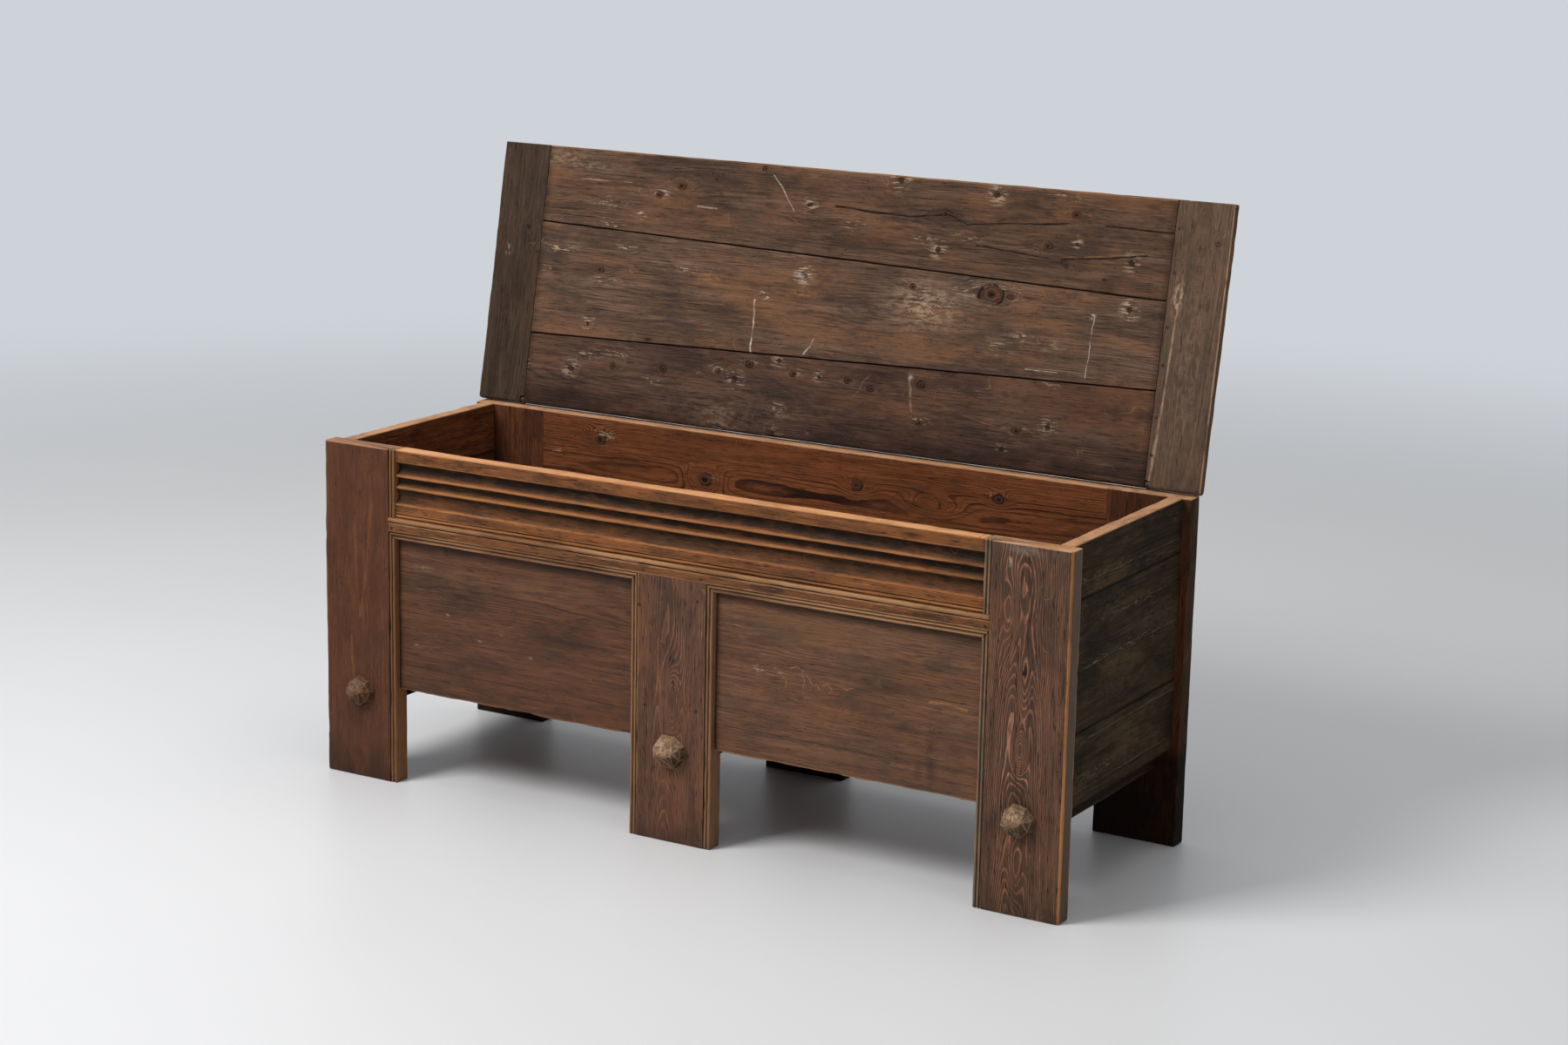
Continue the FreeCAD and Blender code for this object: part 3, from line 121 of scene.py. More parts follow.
class Outline:
    """A closed outline across a board, drawn in (across, out)."""

    WEAR_REACH = 2.2 * MM
    PAINTED_SHADE_REACH = 1.4 * MM
    FULL_TURN = math.radians(62)
    NEAR_ARRIS = (2.2 * MM, 5.5 * MM)

    def __init__(self, across: float, out: float) -> None:
        """Start at a corner."""
        self.points = [Vector((across, out))]

    def line(self, across: float, out: float) -> "Outline":
        """Draw a straight stretch to a corner."""
        self.points.append(Vector((across, out)))
        return self

    def arc(self, across: float, out: float, radius: float, bulge: int, steps: int = 6) -> "Outline":
        """Draw an arc.

        Args:
            across: Where it ends, across the board.
            out: Where it ends, out of the board.
            radius: Its radius.
            bulge: 1 where it bulges left of its way, -1 where it bulges right.
            steps: How many straight bits stand for it.

        Returns:
            The outline, for the next stretch.
        """
        start, end = self.points[-1], Vector((across, out))
        chord = end - start
        left = Vector((-chord.y, chord.x)).normalized() * bulge
        centre = (start + end) / 2 - left * math.sqrt(max(radius ** 2 - (chord.length / 2) ** 2, 0))
        first = math.atan2(start.y - centre.y, start.x - centre.x)
        last = math.atan2(end.y - centre.y, end.x - centre.x)
        sweep = (last - first) % math.tau if bulge < 0 else -((first - last) % math.tau)
        for number in range(1, steps + 1):
            angle = first + sweep * number / steps
            self.points.append(centre + Vector((math.cos(angle), math.sin(angle))) * radius)
        return self

    def section(self, rounding: float = 1.2 * MM, step: float = 16 * MM) -> Section:
        """Round the arrises, space the places and work out their wear and the painted shade of their hollows.

        Args:
            rounding: How far an arris is rounded.
            step: The widest spacing on a flat.

        Returns:
            The finished section.
        """
        corners = list(self.points)
        area = sum(a.x * b.y - b.x * a.y for a, b in zip(corners, corners[1:] + corners[:1]))
        if area < 0:
            corners.reverse()
        eased = self._eased(corners, rounding)
        places = np.array(self._spaced(eased, step))
        ahead = np.roll(places, -1, 0) - places
        behind = places - np.roll(places, 1, 0)
        lengths = np.hypot(*ahead.T)
        run = np.concatenate([[0], np.cumsum(lengths)[:-1]])
        turn = np.arctan2(behind[:, 0] * ahead[:, 1] - behind[:, 1] * ahead[:, 0], (behind * ahead).sum(1))
        tangent = ahead / lengths[:, None] + behind / np.roll(lengths, 1)[:, None]
        tangent /= np.hypot(*tangent.T)[:, None]
        normals = np.stack([tangent[:, 1], -tangent[:, 0]], 1)
        apart = np.abs(run[:, None] - run[None, :])
        apart = np.minimum(apart, lengths.sum() - apart)
        wear = np.exp(-(apart / self.WEAR_REACH) ** 2 / 2) @ np.maximum(turn, 0) / self.FULL_TURN
        # Painted shade: darker where the outline turns inwards, in quirks, hollows and corners.
        grime = np.exp(-(apart / self.PAINTED_SHADE_REACH) ** 2 / 2) @ np.maximum(-turn, 0) / self.FULL_TURN
        return Section(places, normals, run, np.clip(wear, 0, 1), np.clip(grime, 0, 1))

    @staticmethod
    def _eased(corners: list[Vector], rounding: float) -> list[Vector]:
        """Put a small curve at each sharp outward corner."""
        eased = []
        for before, here, after in zip([corners[-1]] + corners[:-1], corners, corners[1:] + corners[:1]):
            come, go = here - before, after - here
            turn = math.atan2(come.x * go.y - come.y * go.x, come.dot(go))
            if turn < math.radians(30):
                eased.append(here)
                continue
            cut = min(rounding, come.length * 0.45, go.length * 0.45)
            start, end = here - come.normalized() * cut, here + go.normalized() * cut
            for share in (0, 0.33, 0.67, 1):
                eased.append(start.lerp(here, share).lerp(here.lerp(end, share), share))
        return eased

    def _spaced(self, corners: list[Vector], step: float) -> list[tuple[float, float]]:
        """Split the long straight stretches, more finely beside a corner."""
        placed = []
        for here, after in zip(corners, corners[1:] + corners[:1]):
            length = (after - here).length
            if length < 1e-7:
                continue
            cuts = {0.0}
            if length > 3 * self.NEAR_ARRIS[-1]:
                cuts.update(self.NEAR_ARRIS)
                cuts.update(length - near for near in self.NEAR_ARRIS)
                inner = length - 2 * self.NEAR_ARRIS[-1]
                count = max(1, math.ceil(inner / step))
                cuts.update(self.NEAR_ARRIS[-1] + inner * n / count for n in range(1, count))
            placed += [tuple(here.lerp(after, cut / length)) for cut in sorted(cuts)]
        return placed


@dataclass
class Lay:
    """How a board lies: its corner, its grain, its width and the way that its show face looks."""

    corner: Vector
    along: Vector
    across: Vector
    out: Vector
    length: float
    width: float
    thickness: float

    @classmethod
    def of_node(cls, node: str, along: str, out: str, trim: Sequence[float] = (0, 0, 0, 0)) -> "Lay":
        """Read a board's lay from a node that is square to the frame.

        Args:
            node: The node's name.
            along: The axis that the grain follows, as X, Y or Z.
            out: The way that the show face looks, as +X or -Y.
            trim: How much shorter the board is than the node: along low, along high, across low and high.

        Returns:
            The lay, with the show face at out 0.
        """
        low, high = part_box(node)
        first, third = "XYZ".index(along), "XYZ".index(out[1])
        second = 3 - first - third
        low[first] += trim[0]
        high[first] -= trim[1]
        low[second] += trim[2]
        high[second] -= trim[3]
        sign = 1 if out[0] == "+" else -1
        corner = low.copy()
        corner[third] = high[third] if sign > 0 else low[third]
        unit = [Vector(row) for row in Matrix.Identity(3)]
        size = high - low
        return cls(corner, unit[first], unit[second], unit[third] * sign, size[first], size[second], size[third])

    def place(self, along: Array, across: Array, out: Array) -> Array:
        """Turn places on the board into places in the frame."""
        axes = np.array([self.along, self.across, self.out])
        return np.array(self.corner) + np.stack([along, across, out], -1) @ axes

    def plain(self) -> Outline:
        """The outline of a plain board."""
        deep = -self.thickness
        return Outline(0, deep).line(self.width, deep).line(self.width, 0).line(0, 0)


class Way(Enum):
    """A direction on a board."""

    ALONG = 0
    ACROSS = 1


class Touch(Enum):
    """How a patch breaks up the surface."""

    STAIN = "stain"
    TORN = "torn"
    RUB = "rub"


@dataclass(frozen=True)
class Knot:
    """A knot, or a closed figure in the grain where it isn't dark, in millimetres."""

    along: float
    across: float
    radius: float
    swell: float = 1.8
    dark: float = 0.95
    stretch: float = 1.3


@dataclass(frozen=True)
class Streak:
    """A crack, scratch, scribe or splash: a line through places on the board's face, in millimetres."""

    path: Sequence[tuple[float, float]]
    width: float
    colour: Colour
    strength: float = 1.0
    ragged: float = 0.5
    deep: float = 0.0


@dataclass(frozen=True)
class Patch:
    """A stain, a rub or a torn place: a soft oval, in millimetres."""

    along: float
    across: float
    reach: tuple[float, float]
    colour: Colour
    strength: float = 0.6
    ragged: float = 0.6
    touch: Touch = Touch.STAIN


@dataclass(frozen=True)
class Band:
    """A side or end of a board that differs: full beyond a place, and gone a soft stretch from there."""

    way: Way
    place: float
    soft: float
    colour: Colour
    strength: float = 0.6
    ragged: float = 0.5


@dataclass(frozen=True)
class Grain:
    """How a board was sawn from its log, in metres."""

    pith: tuple[float, float] = (0.08, -0.09)
    slope: tuple[float, float] = (0.0, 0.012)
    ring: float = 0.0036
    sway: float = 0.008
    flame: float = 0.006
    flame_wave: float = 0.5
    line: tuple[float, float] = (0.5, 0.9)


@dataclass(frozen=True)
class Pine:
    """A finish of old pine."""

    valley: Colour
    ridge: Colour
    warm: Colour
    patina: Colour
    worn: Colour
    ring_show: float = 0.6
    fibre_show: float = 0.3
    stripe_show: float = 0.16
    warm_show: float = 0.5
    patina_show: float = 0.55
    wear_show: float = 1.0
    grime_show: float = 0.8
    scratch_show: float = 0.5
    tick_show: float = 0.6
    dust_show: float = 0.25
    knotty: float = 0.0
    roughness: float = 0.6
    coat: float = 0.0
    gloss: float = 0.12
    relief: float = 0.2


class Graph:
    """A node tree, with short words for the nodes that a finish needs."""

    def __init__(self, tree: NodeTree) -> None:
        """Start with an empty tree."""
        self.tree = tree
        tree.nodes.clear()

    def node(self, kind: str, inputs: dict | None = None, **settings) -> Node:
        """Add a node.

        Args:
            kind: The node's type.
            inputs: Values or sockets by input name or number.
            settings: The node's own properties.

        Returns:
            The node.
        """
        made = self.tree.nodes.new(kind)
        for name, value in settings.items():
            setattr(made, name, value)
        for key, value in (inputs or {}).items():
            self.feed(made.inputs[key], value)
        return made

    def feed(self, socket: NodeSocket, value) -> None:
        """Link a socket or set its value."""
        if isinstance(value, NodeSocket):
            self.tree.links.new(value, socket)
        elif isinstance(value, (tuple, list)) and len(value) == 3 and socket.type == "RGBA":
            socket.default_value = (*value, 1.0)
        else:
            socket.default_value = value

    def math(self, operation: str, *values) -> NodeSocket:
        """Work out a number."""
        return self.node("ShaderNodeMath", dict(enumerate(values)), operation=operation).outputs[0]

    def product(self, *values) -> NodeSocket:
        """Multiply several numbers."""
        total = values[0]
        for value in values[1:]:
            total = self.math("MULTIPLY", total, value)
        return total

    def about(self, value, size: float, base=0.0) -> NodeSocket:
        """Turn noise round a half into a change of a size round a base."""
        return self.math("ADD", self.math("MULTIPLY_ADD", value, size * 2, -size), base)

    def vector(self, operation: str, *values, result: str = "Vector") -> NodeSocket:
        """Work out a vector, or its length or a product by name."""
        return self.node("ShaderNodeVectorMath", dict(enumerate(values)), operation=operation).outputs[result]

    def joined(self, *values) -> NodeSocket:
        """Make a vector of three numbers."""
        return self.node("ShaderNodeCombineXYZ", dict(enumerate(values))).outputs[0]

    def noise(self, place, scale: float, detail: float = 2.0, rough: float = 0.5, bend: float = 0.0):
        """Noise between 0 and 1 at a place."""
        inputs = {"Vector": place, "Scale": scale, "Detail": detail, "Roughness": rough, "Distortion": bend}
        return self.node("ShaderNodeTexNoise", inputs).outputs["Fac"]

    def span(self, value, low: float, high: float, to_low: float = 0.0, to_high: float = 1.0):
        """Map a stretch of values smoothly to another, and hold it at the ends."""
        inputs = {"Value": value, "From Min": low, "From Max": high, "To Min": to_low, "To Max": to_high}
        return self.node("ShaderNodeMapRange", inputs, interpolation_type="SMOOTHSTEP").outputs[0]

    def mix(self, share, first, second, blend: str = "MIX") -> NodeSocket:
        """Mix two colours."""
        made = self.node("ShaderNodeMix", data_type="RGBA", blend_type=blend)
        for key, value in (("Factor_Float", share), ("A_Color", first), ("B_Color", second)):
            self.feed(next(s for s in made.inputs if s.identifier == key), value)
        return next(s for s in made.outputs if s.identifier == "Result_Color")

    def scaled(self, place, along: float, across: float, out: float) -> NodeSocket:
        """Stretch a place by a factor along each axis."""
        return self.vector("MULTIPLY", place, (along, across, out))


@dataclass
class Surface:
    """What the layers of one board's finish work on, while its material is built."""

    graph: Graph
    place: NodeSocket
    grain: NodeSocket
    lift: NodeSocket | float
    behind: NodeSocket | None
    tone: NodeSocket | None = None
    relief: NodeSocket | float = 0.0

    def noise(self, along: float, across: float, detail: float = 2.0, rough: float = 0.5, bend: float = 0.0):
        """Noise drawn out along the grain, by how often it changes in a metre along and across it."""
        return self.graph.noise(self.graph.scaled(self.grain, along, across, across), 1.0, detail, rough, bend)

    def cover(self, share, colour) -> None:
        """Lay a colour over the surface."""
        self.tone = self.graph.mix(share, self.tone, colour)

    def lighten(self, factor) -> None:
        """Make the surface lighter or darker by a factor."""
        grey = self.graph.node("ShaderNodeCombineColor", {"Red": factor, "Green": factor, "Blue": factor})
        self.tone = self.graph.mix(1.0, self.tone, grey.outputs[0], "MULTIPLY")

    def rise(self, share, height: float) -> None:
        """Lift the surface by a height in millimetres."""
        self.relief = self.graph.math("MULTIPLY_ADD", share, height, self.relief)


@dataclass
class Timber:
    """The material of one board: its finish, its grain and its own marks.

    Knots, streaks and patches lie on the chest's own axes, in millimetres from zero, and bands on the
    board's, from its corner.
    """

    name: str
    lay: Lay
    finish: Pine
    grain: Grain = Grain()
    knots: Sequence[Knot] = ()
    streaks: Sequence[Streak] = ()
    patches: Sequence[Patch] = ()
    bands: Sequence[Band] = ()
    back: Pine | None = None
    tint: Colour = (1.0, 1.0, 1.0)
    zero: tuple[float, float] | None = None
    end_on: bool = False

    def material(self) -> Material:
        """Build the material.

        Returns:
            The material, whose pattern follows the board in Object coordinates.
        """
        made = bpy.data.materials.new(self.name)
        made.use_nodes = True
        graph = Graph(made.node_tree)
        surface = self._surface(graph)
        self._wood(surface)
        self._mark(surface)
        rough = self._age(surface)
        bump = graph.node("ShaderNodeBump", {"Height": surface.relief, "Distance": MM, "Strength": 1.0})
        inputs = {"Base Color": surface.tone, "Roughness": rough, "Normal": bump.outputs[0]}
        shader = graph.node("ShaderNodeBsdfPrincipled", inputs)
        shader.inputs["Coat Weight"].default_value = self.finish.coat
        shader.inputs["Coat Roughness"].default_value = 0.35
        shader.inputs["Specular IOR Level"].default_value = self.finish.gloss
        graph.node("ShaderNodeOutputMaterial", {"Surface": shader.outputs[0]})
        return made

    def _spot(self, along: float, across: float) -> tuple[float, float]:
        """Turn a mark's place into metres on the board."""
        zero = self.zero
        if zero is None:
            shift = Vector((0, CHEST_FORWARD, 0))
            corner = self.lay.corner + shift
            zero = (corner.dot(self.lay.along) / MM, corner.dot(self.lay.across) / MM)
        return (along - zero[0]) * MM, (across - zero[1]) * MM

    def _surface(self, graph: Graph) -> Surface:
        """Find the place on the board, bend its grain round the knots and tell front from back."""
        world = graph.node("ShaderNodeTexCoord").outputs["Object"]
        offset = graph.vector("SUBTRACT", world, tuple(self.lay.corner))
        along, across, out = [graph.vector("DOT_PRODUCT", offset, tuple(axis),
            result="Value") for axis in (self.lay.along, self.lay.across, self.lay.out)]
        place = graph.joined(along, across, out)
        bent, lift = across, 0.0
        for knot in self.knots:
            spot, size = self._spot(knot.along, knot.across), knot.radius * MM
            bulge = self._oval(graph, place, spot, (size * knot.stretch * 2.0, size * 1.6))
            side = graph.span(across, spot[1] - size, spot[1] + size, -1.0, 1.0)
            bent = graph.math("MULTIPLY_ADD", graph.product(bulge, side), -0.8 * size, bent)
            lift = graph.math("MULTIPLY_ADD", bulge, size * knot.swell, lift)
        seed = (zlib.crc32(self.name.encode()) % 97) * 0.37
        axes = (out, bent, along) if self.end_on else (along, bent, out)
        grain = graph.vector("ADD", graph.joined(*axes), (seed, seed, seed))
        deep = self.lay.thickness
        behind = graph.span(out, 1.2 * MM - deep, 2.6 * MM - deep, 1.0, 0.0) if self.back else None
        return Surface(graph, place, grain, lift, behind)

    def _shade(self, surface: Surface, name: str):
        """A colour or number of the finish, which may differ behind."""
        front = getattr(self.finish, name)
        if not self.back:
            return front
        return surface.graph.mix(surface.behind, front, getattr(self.back, name))

    def _rings(self, surface: Surface) -> NodeSocket:
        """How far into its late wood each place is, from 0 to 1."""
        graph, grain = surface.graph, self.grain
        along, across, out = graph.node("ShaderNodeSeparateXYZ", {0: surface.place}).outputs
        if self.end_on:
            along, out = out, along
        aside = graph.math("MULTIPLY_ADD", along, -grain.slope[0], across)
        aside = graph.about(surface.noise(1.6, 4.5), grain.sway, graph.math("SUBTRACT", aside, grain.pith[0]))
        deep = graph.math("MULTIPLY_ADD", along, -grain.slope[1], out)
        deep = graph.about(surface.noise(1 / grain.flame_wave, 2.5), grain.flame * 2,
            graph.math("SUBTRACT", deep, grain.pith[1]))
        radius = graph.vector("LENGTH", graph.joined(aside, deep), result="Value")
        radius = graph.math("ADD", radius, surface.lift)
        radius = graph.about(surface.noise(26, 80), 0.0009, radius)
        uneven = graph.noise(graph.joined(radius), 40.0, 2.0, 0.6)
        phase = graph.math("MULTIPLY_ADD", uneven, 3.5, graph.math("DIVIDE", radius, grain.ring))
        cycle, number = graph.math("FRACT", phase), graph.math("FLOOR", phase)
        strong = graph.node("ShaderNodeTexWhiteNoise", {"W": number}, noise_dimensions="1D").outputs["Value"]
        fade = graph.span(surface.noise(3.5, 15, 3.0), 0.34, 0.6, 0.35, 1.0)
        rise, fall = graph.span(cycle, *grain.line), graph.span(cycle, 0.93, 1.0, 1.0, 0.0)
        return graph.product(rise, fall, fade, graph.math("MULTIPLY_ADD", strong, 0.6, 0.4))

    def _wood(self, surface: Surface) -> None:
        """Colour the bare wood: rings, fibres, stripes, warm places and patina."""
        graph, finish = surface.graph, self.finish
        rings = self._rings(surface)
        fibre, cord = surface.noise(14, 420, 3.0, 0.65), surface.noise(6, 150, 3.0, 0.6)
        show = graph.product(rings, finish.ring_show)
        surface.tone = graph.mix(show, self._shade(surface, "valley"), self._shade(surface, "ridge"))
        shade = graph.about(fibre, finish.fibre_show * 1.5, 1.0)
        shade = graph.about(cord, finish.fibre_show * 1.2, shade)
        stripe = graph.span(surface.noise(1.5, 55, 3.0, 0.6), 0.25, 0.75, 1 - finish.stripe_show,
            1 + finish.stripe_show)
        surface.lighten(graph.product(shade, stripe))
        glow = graph.span(surface.noise(4.2, 13, 5.0, 0.65), 0.44, 0.66)
        surface.cover(graph.product(glow, finish.warm_show), self._shade(surface, "warm"))
        blot = graph.span(surface.noise(5.5, 14, 6.0, 0.7, 0.4), 0.44, 0.66)
        surface.cover(graph.product(blot, finish.patina_show), self._shade(surface, "patina"))
        soot = graph.span(surface.noise(16, 45, 6.0, 0.75), 0.52, 0.7)
        surface.cover(graph.product(soot, finish.patina_show * 0.8), self._shade(surface, "patina"))
        tick = graph.span(surface.noise(26, 460, 2.0, 0.6), 0.58, 0.7)
        surface.lighten(graph.span(tick, 0.0, 1.0, 1.0, 1 - finish.tick_show))
        thread = graph.span(surface.noise(20, 400, 2.0, 0.6), 0.58, 0.72)
        surface.lighten(graph.span(thread, 0.0, 1.0, 1.0, 1 + finish.tick_show * 0.7))
        surface.rise(rings, finish.relief)
        surface.rise(fibre, 0.25)
        surface.rise(tick, -0.3)
        surface.rise(surface.noise(4, 30, 2.0), 0.5)
        if finish.knotty:
            self._sprinkle(surface)

    def _sprinkle(self, surface: Surface) -> None:
        """Scatter small torn knots, as a rough face of a knotty board has."""
        graph, finish = surface.graph, self.finish
        bent = graph.vector("ADD", surface.grain, graph.scaled(graph.node("ShaderNodeTexNoise",
            {"Vector": surface.grain, "Scale": 60.0, "Detail": 3.0}).outputs["Color"], 0.02, 0.012, 0.0))
        cells = graph.node("ShaderNodeTexVoronoi", {"Vector": bent, "Scale": 9.5}, voronoi_dimensions="2D").outputs
        pick = graph.node("ShaderNodeSeparateColor", {0: cells["Color"]}).outputs
        there = graph.span(pick[0], 1 - finish.knotty, 1.01 - finish.knotty)
        size = graph.math("MULTIPLY_ADD", pick[1], 0.6, 0.5)
        far = graph.math("DIVIDE", cells["Distance"], size)
        there = graph.product(there, graph.math("SUBTRACT", 1.0, surface.behind) if self.back else 1.0)
        rips = graph.span(surface.noise(36, 210, 3.0, 0.62), 0.5, 0.56)
        rip = graph.product(graph.span(far, 0.1, 0.3, 1.0, 0.0), rips, there, 0.9)
        surface.cover(rip, PALE)
        heart = graph.product(graph.span(far, 0.05, 0.085, 1.0, 0.0), there, 0.85)
        surface.cover(heart, CHAR)
        surface.rise(rip, 0.9)
        surface.rise(heart, -0.8)

    @staticmethod
    def _oval(graph: Graph, place, spot: Sequence[float], reach: Sequence[float]) -> NodeSocket:
        """A soft oval that is 1 at its middle."""
        away = graph.vector("SUBTRACT", place, (*spot, 0.0))
        away = graph.vector("MULTIPLY", away, (1 / reach[0], 1 / reach[1], 0.0))
        square = graph.vector("DOT_PRODUCT", away, away, result="Value")
        return graph.math("POWER", math.e, graph.product(square, -1.0))

    def _mark(self, surface: Surface) -> None:
        """Lay the board's own bands, patches, knots and streaks over its colour."""
        graph = surface.graph
        if not (self.knots or self.streaks or self.patches or self.bands):
            return
        fine, soft = surface.noise(60, 140, 4.0, 0.65), surface.noise(12, 26, 4.0, 0.6)
        torn = graph.product(graph.span(surface.noise(34, 230, 3.0, 0.62), 0.52, 0.58),
            graph.span(surface.noise(80, 130, 2.0), 0.38, 0.52))
        drift = graph.node("ShaderNodeTexNoise", {"Vector": graph.scaled(surface.grain, 9, 22, 22), "Scale": 1.0,
            "Detail": 3.0}).outputs["Color"]
        drift = graph.scaled(graph.vector("SUBTRACT", drift, (0.5, 0.5, 0.5)), 0.016, 0.01, 0.0)
        drifted = graph.vector("ADD", surface.place, drift)
        shown = graph.math("SUBTRACT", 1.0, surface.behind) if self.back else 1.0
        sides = graph.node("ShaderNodeSeparateXYZ", {0: surface.place}).outputs
        for band in self.bands:
            low, high = sorted((band.place * MM, (band.place + band.soft) * MM))
            mask = graph.span(sides[band.way.value], low, high, *((1.0, 0.0) if band.soft > 0 else (0.0, 1.0)))
            rag = graph.span(soft, 0.5 - band.ragged * 0.4, 0.5 + band.ragged * 0.2, 1 - band.ragged)
            surface.cover(graph.product(mask, rag, band.strength), band.colour)
        for patch in self.patches:
            reach = (patch.reach[0] * MM, patch.reach[1] * MM)
            mask = self._oval(graph, drifted, self._spot(patch.along, patch.across), reach)
            rag = {Touch.STAIN: graph.span(soft, 0.5 - patch.ragged * 0.3, 0.5 + patch.ragged * 0.2),
                Touch.RUB: graph.span(fine, 0.5 - patch.ragged * 0.12, 0.5 + patch.ragged * 0.18),
                Touch.TORN: torn}[patch.touch]
            mask = graph.math("MINIMUM", graph.product(mask, rag, patch.strength, shown), 1.0)
            surface.cover(mask, patch.colour)
            if patch.touch is Touch.TORN:
                surface.rise(mask, 1.1)
        for knot in self.knots:
            if knot.dark:
                self._heart(surface, drifted, knot, shown)
        for streak in self.streaks:
            gap = self._gap(graph, drifted, [self._spot(*place) for place in streak.path])
            gap = graph.about(soft, streak.ragged * streak.width * 1.6 * MM, gap)
            mask = graph.span(gap, 0.0, streak.width * 0.6 * MM, 1.0, 0.0)
            rag = graph.span(fine, 0.5 - 0.3 * streak.ragged, 0.5 + 0.08 * streak.ragged + 0.01, 1 - streak.ragged)
            mask = graph.math("MINIMUM", graph.product(mask, rag, streak.strength, shown), 1.0)
            surface.cover(mask, streak.colour)
            if streak.deep:
                surface.rise(mask, -streak.deep)

    def _heart(self, surface: Surface, place, knot: Knot, shown) -> None:
        """Draw the knot itself: its own small rings, a dark rim and a little dip."""
        graph, size = surface.graph, knot.radius * MM
        away = graph.vector("SUBTRACT", place, (*self._spot(knot.along, knot.across), 0.0))
        away = graph.vector("MULTIPLY", away, (1 / (size * knot.stretch), 1 / size, 0.0))
        rough = graph.noise(graph.scaled(surface.place, 1, 1, 1), 0.55 / size, 3.0, 0.6)
        far = graph.about(rough, 0.45, graph.vector("LENGTH", away, result="Value"))
        inside = graph.product(graph.span(far, 0.6, 1.05, 1.0, 0.0), knot.dark, shown)
        turns = graph.math("SINE", graph.product(far, 15.0))
        surface.cover(inside, graph.mix(graph.span(turns, -0.7, 0.8), KNOT_DARK, KNOT_RED))
        rim = graph.span(graph.math("ABSOLUTE", graph.math("SUBTRACT", far, 0.92)), 0.02, 0.16, 1.0, 0.0)
        broken = graph.span(surface.noise(45, 70, 2.0), 0.46, 0.56)
        rim = graph.product(rim, broken, knot.dark, shown)
        surface.cover(rim, PITCH)
        surface.rise(rim, -1.2)
        surface.rise(graph.product(turns, inside), 0.3)
        split = graph.product(graph.span(far, 0.15, 0.3, 1.0, 0.0), knot.dark, shown)
        surface.cover(split, PITCH)

    @staticmethod
    def _gap(graph: Graph, place, path: Sequence[tuple[float, float]]) -> NodeSocket:
        """How far each place is from a bent line."""
        flat = graph.vector("MULTIPLY", place, (1.0, 1.0, 0.0))
        nearest = None
        for start, end in zip(path, path[1:]):
            origin = Vector((*start, 0.0))
            way = Vector((*end, 0.0)) - origin
            offset = graph.vector("SUBTRACT", flat, tuple(origin))
            share = graph.vector("DOT_PRODUCT", offset, tuple(way / way.length_squared), result="Value")
            held = graph.math("MAXIMUM", graph.math("MINIMUM", share, 1.0), 0.0)
            scaled = graph.node("ShaderNodeVectorMath", {0: tuple(way), "Scale": held}, operation="SCALE")
            gap = graph.vector("LENGTH", graph.vector("SUBTRACT", offset, scaled.outputs[0]), result="Value")
            nearest = gap if nearest is None else graph.math("MINIMUM", nearest, gap)
        return nearest

    def _age(self, surface: Surface) -> NodeSocket:
        """Rub the arrises pale, paint shade into the corners and hollows, and scratch and pit the faces.

        Args:
            surface: The surface, which is changed.

        Returns:
            The roughness.
        """
        graph, finish = surface.graph, self.finish
        wear = graph.node("ShaderNodeAttribute", attribute_name="wear").outputs["Fac"]
        grime = graph.node("ShaderNodeAttribute", attribute_name="grime").outputs["Fac"]
        broken = surface.noise(24, 60, 4.0, 0.65)
        worn = self._shade(surface, "worn")
        here = graph.span(surface.noise(3.2, 12, 2.0), 0.36, 0.6, 0.25, 1.0)
        rubbed = graph.span(graph.about(broken, 0.6, wear), 0.45, 1.0)
        rubbed = graph.product(rubbed, graph.span(wear, 0.05, 0.4), here, finish.wear_show)
        surface.cover(rubbed, worn)
        dust = graph.product(graph.span(graph.noise(surface.place, 330.0, 2.0, 0.6), 0.64, 0.74),
            graph.span(surface.noise(9, 16, 3.0), 0.45, 0.62))
        surface.cover(graph.product(dust, finish.dust_show), finish.worn)
        # Painted shade: darkens creases, coves and the sides of the peg heads that look away from the light.
        painted_shading = graph.product(grime, graph.span(broken, 0.3, 0.6, 0.7, 1.0), finish.grime_show)
        surface.cover(painted_shading, PAINTED_SHADE_BLACK)
        hair = graph.math("ABSOLUTE", graph.math("SUBTRACT", graph.noise(surface.grain, 8.0, 1.5, 0.5, 0.6), 0.5))
        hair = graph.product(graph.span(hair, 0.0, 0.0035, 1.0, 0.0),
            graph.span(graph.noise(surface.grain, 17.0), 0.56, 0.66))
        surface.cover(graph.product(hair, finish.scratch_show * 0.6), worn)
        pits = graph.span(surface.noise(120, 240, 2.0, 0.6), 0.67, 0.75)
        surface.cover(graph.product(pits, 0.5), tuple(c * 0.35 for c in finish.patina))
        cells = graph.node("ShaderNodeTexVoronoi", {"Vector": surface.grain, "Scale": 38.0},
            voronoi_dimensions="2D").outputs
        pick = graph.node("ShaderNodeSeparateColor", {0: cells["Color"]}).outputs
        dot = graph.span(cells["Distance"], 0.022, 0.045, 1.0, 0.0)
        hole = graph.product(dot, graph.span(pick[0], 0.86, 0.88))
        surface.cover(graph.product(hole, 0.9), BLACK)
        fleck = graph.product(dot, graph.span(pick[1], 0.9, 0.92))
        surface.cover(graph.product(fleck, finish.scratch_show * 0.7), tuple(c * 0.85 for c in finish.worn))
        surface.rise(pits, -0.3)
        surface.rise(hole, -1.0)
        surface.rise(hair, -0.15)
        if self.tint != (1.0, 1.0, 1.0):
            surface.tone = graph.mix(1.0, surface.tone, self.tint, "MULTIPLY")
        return graph.about(broken, 0.1, finish.roughness)


def linked(name: str, data: bpy.types.ID) -> Object:
    """Make an object of some data and put it in the scene."""
    made = bpy.data.objects.new(name, data)
    bpy.context.scene.collection.objects.link(made)
    return made


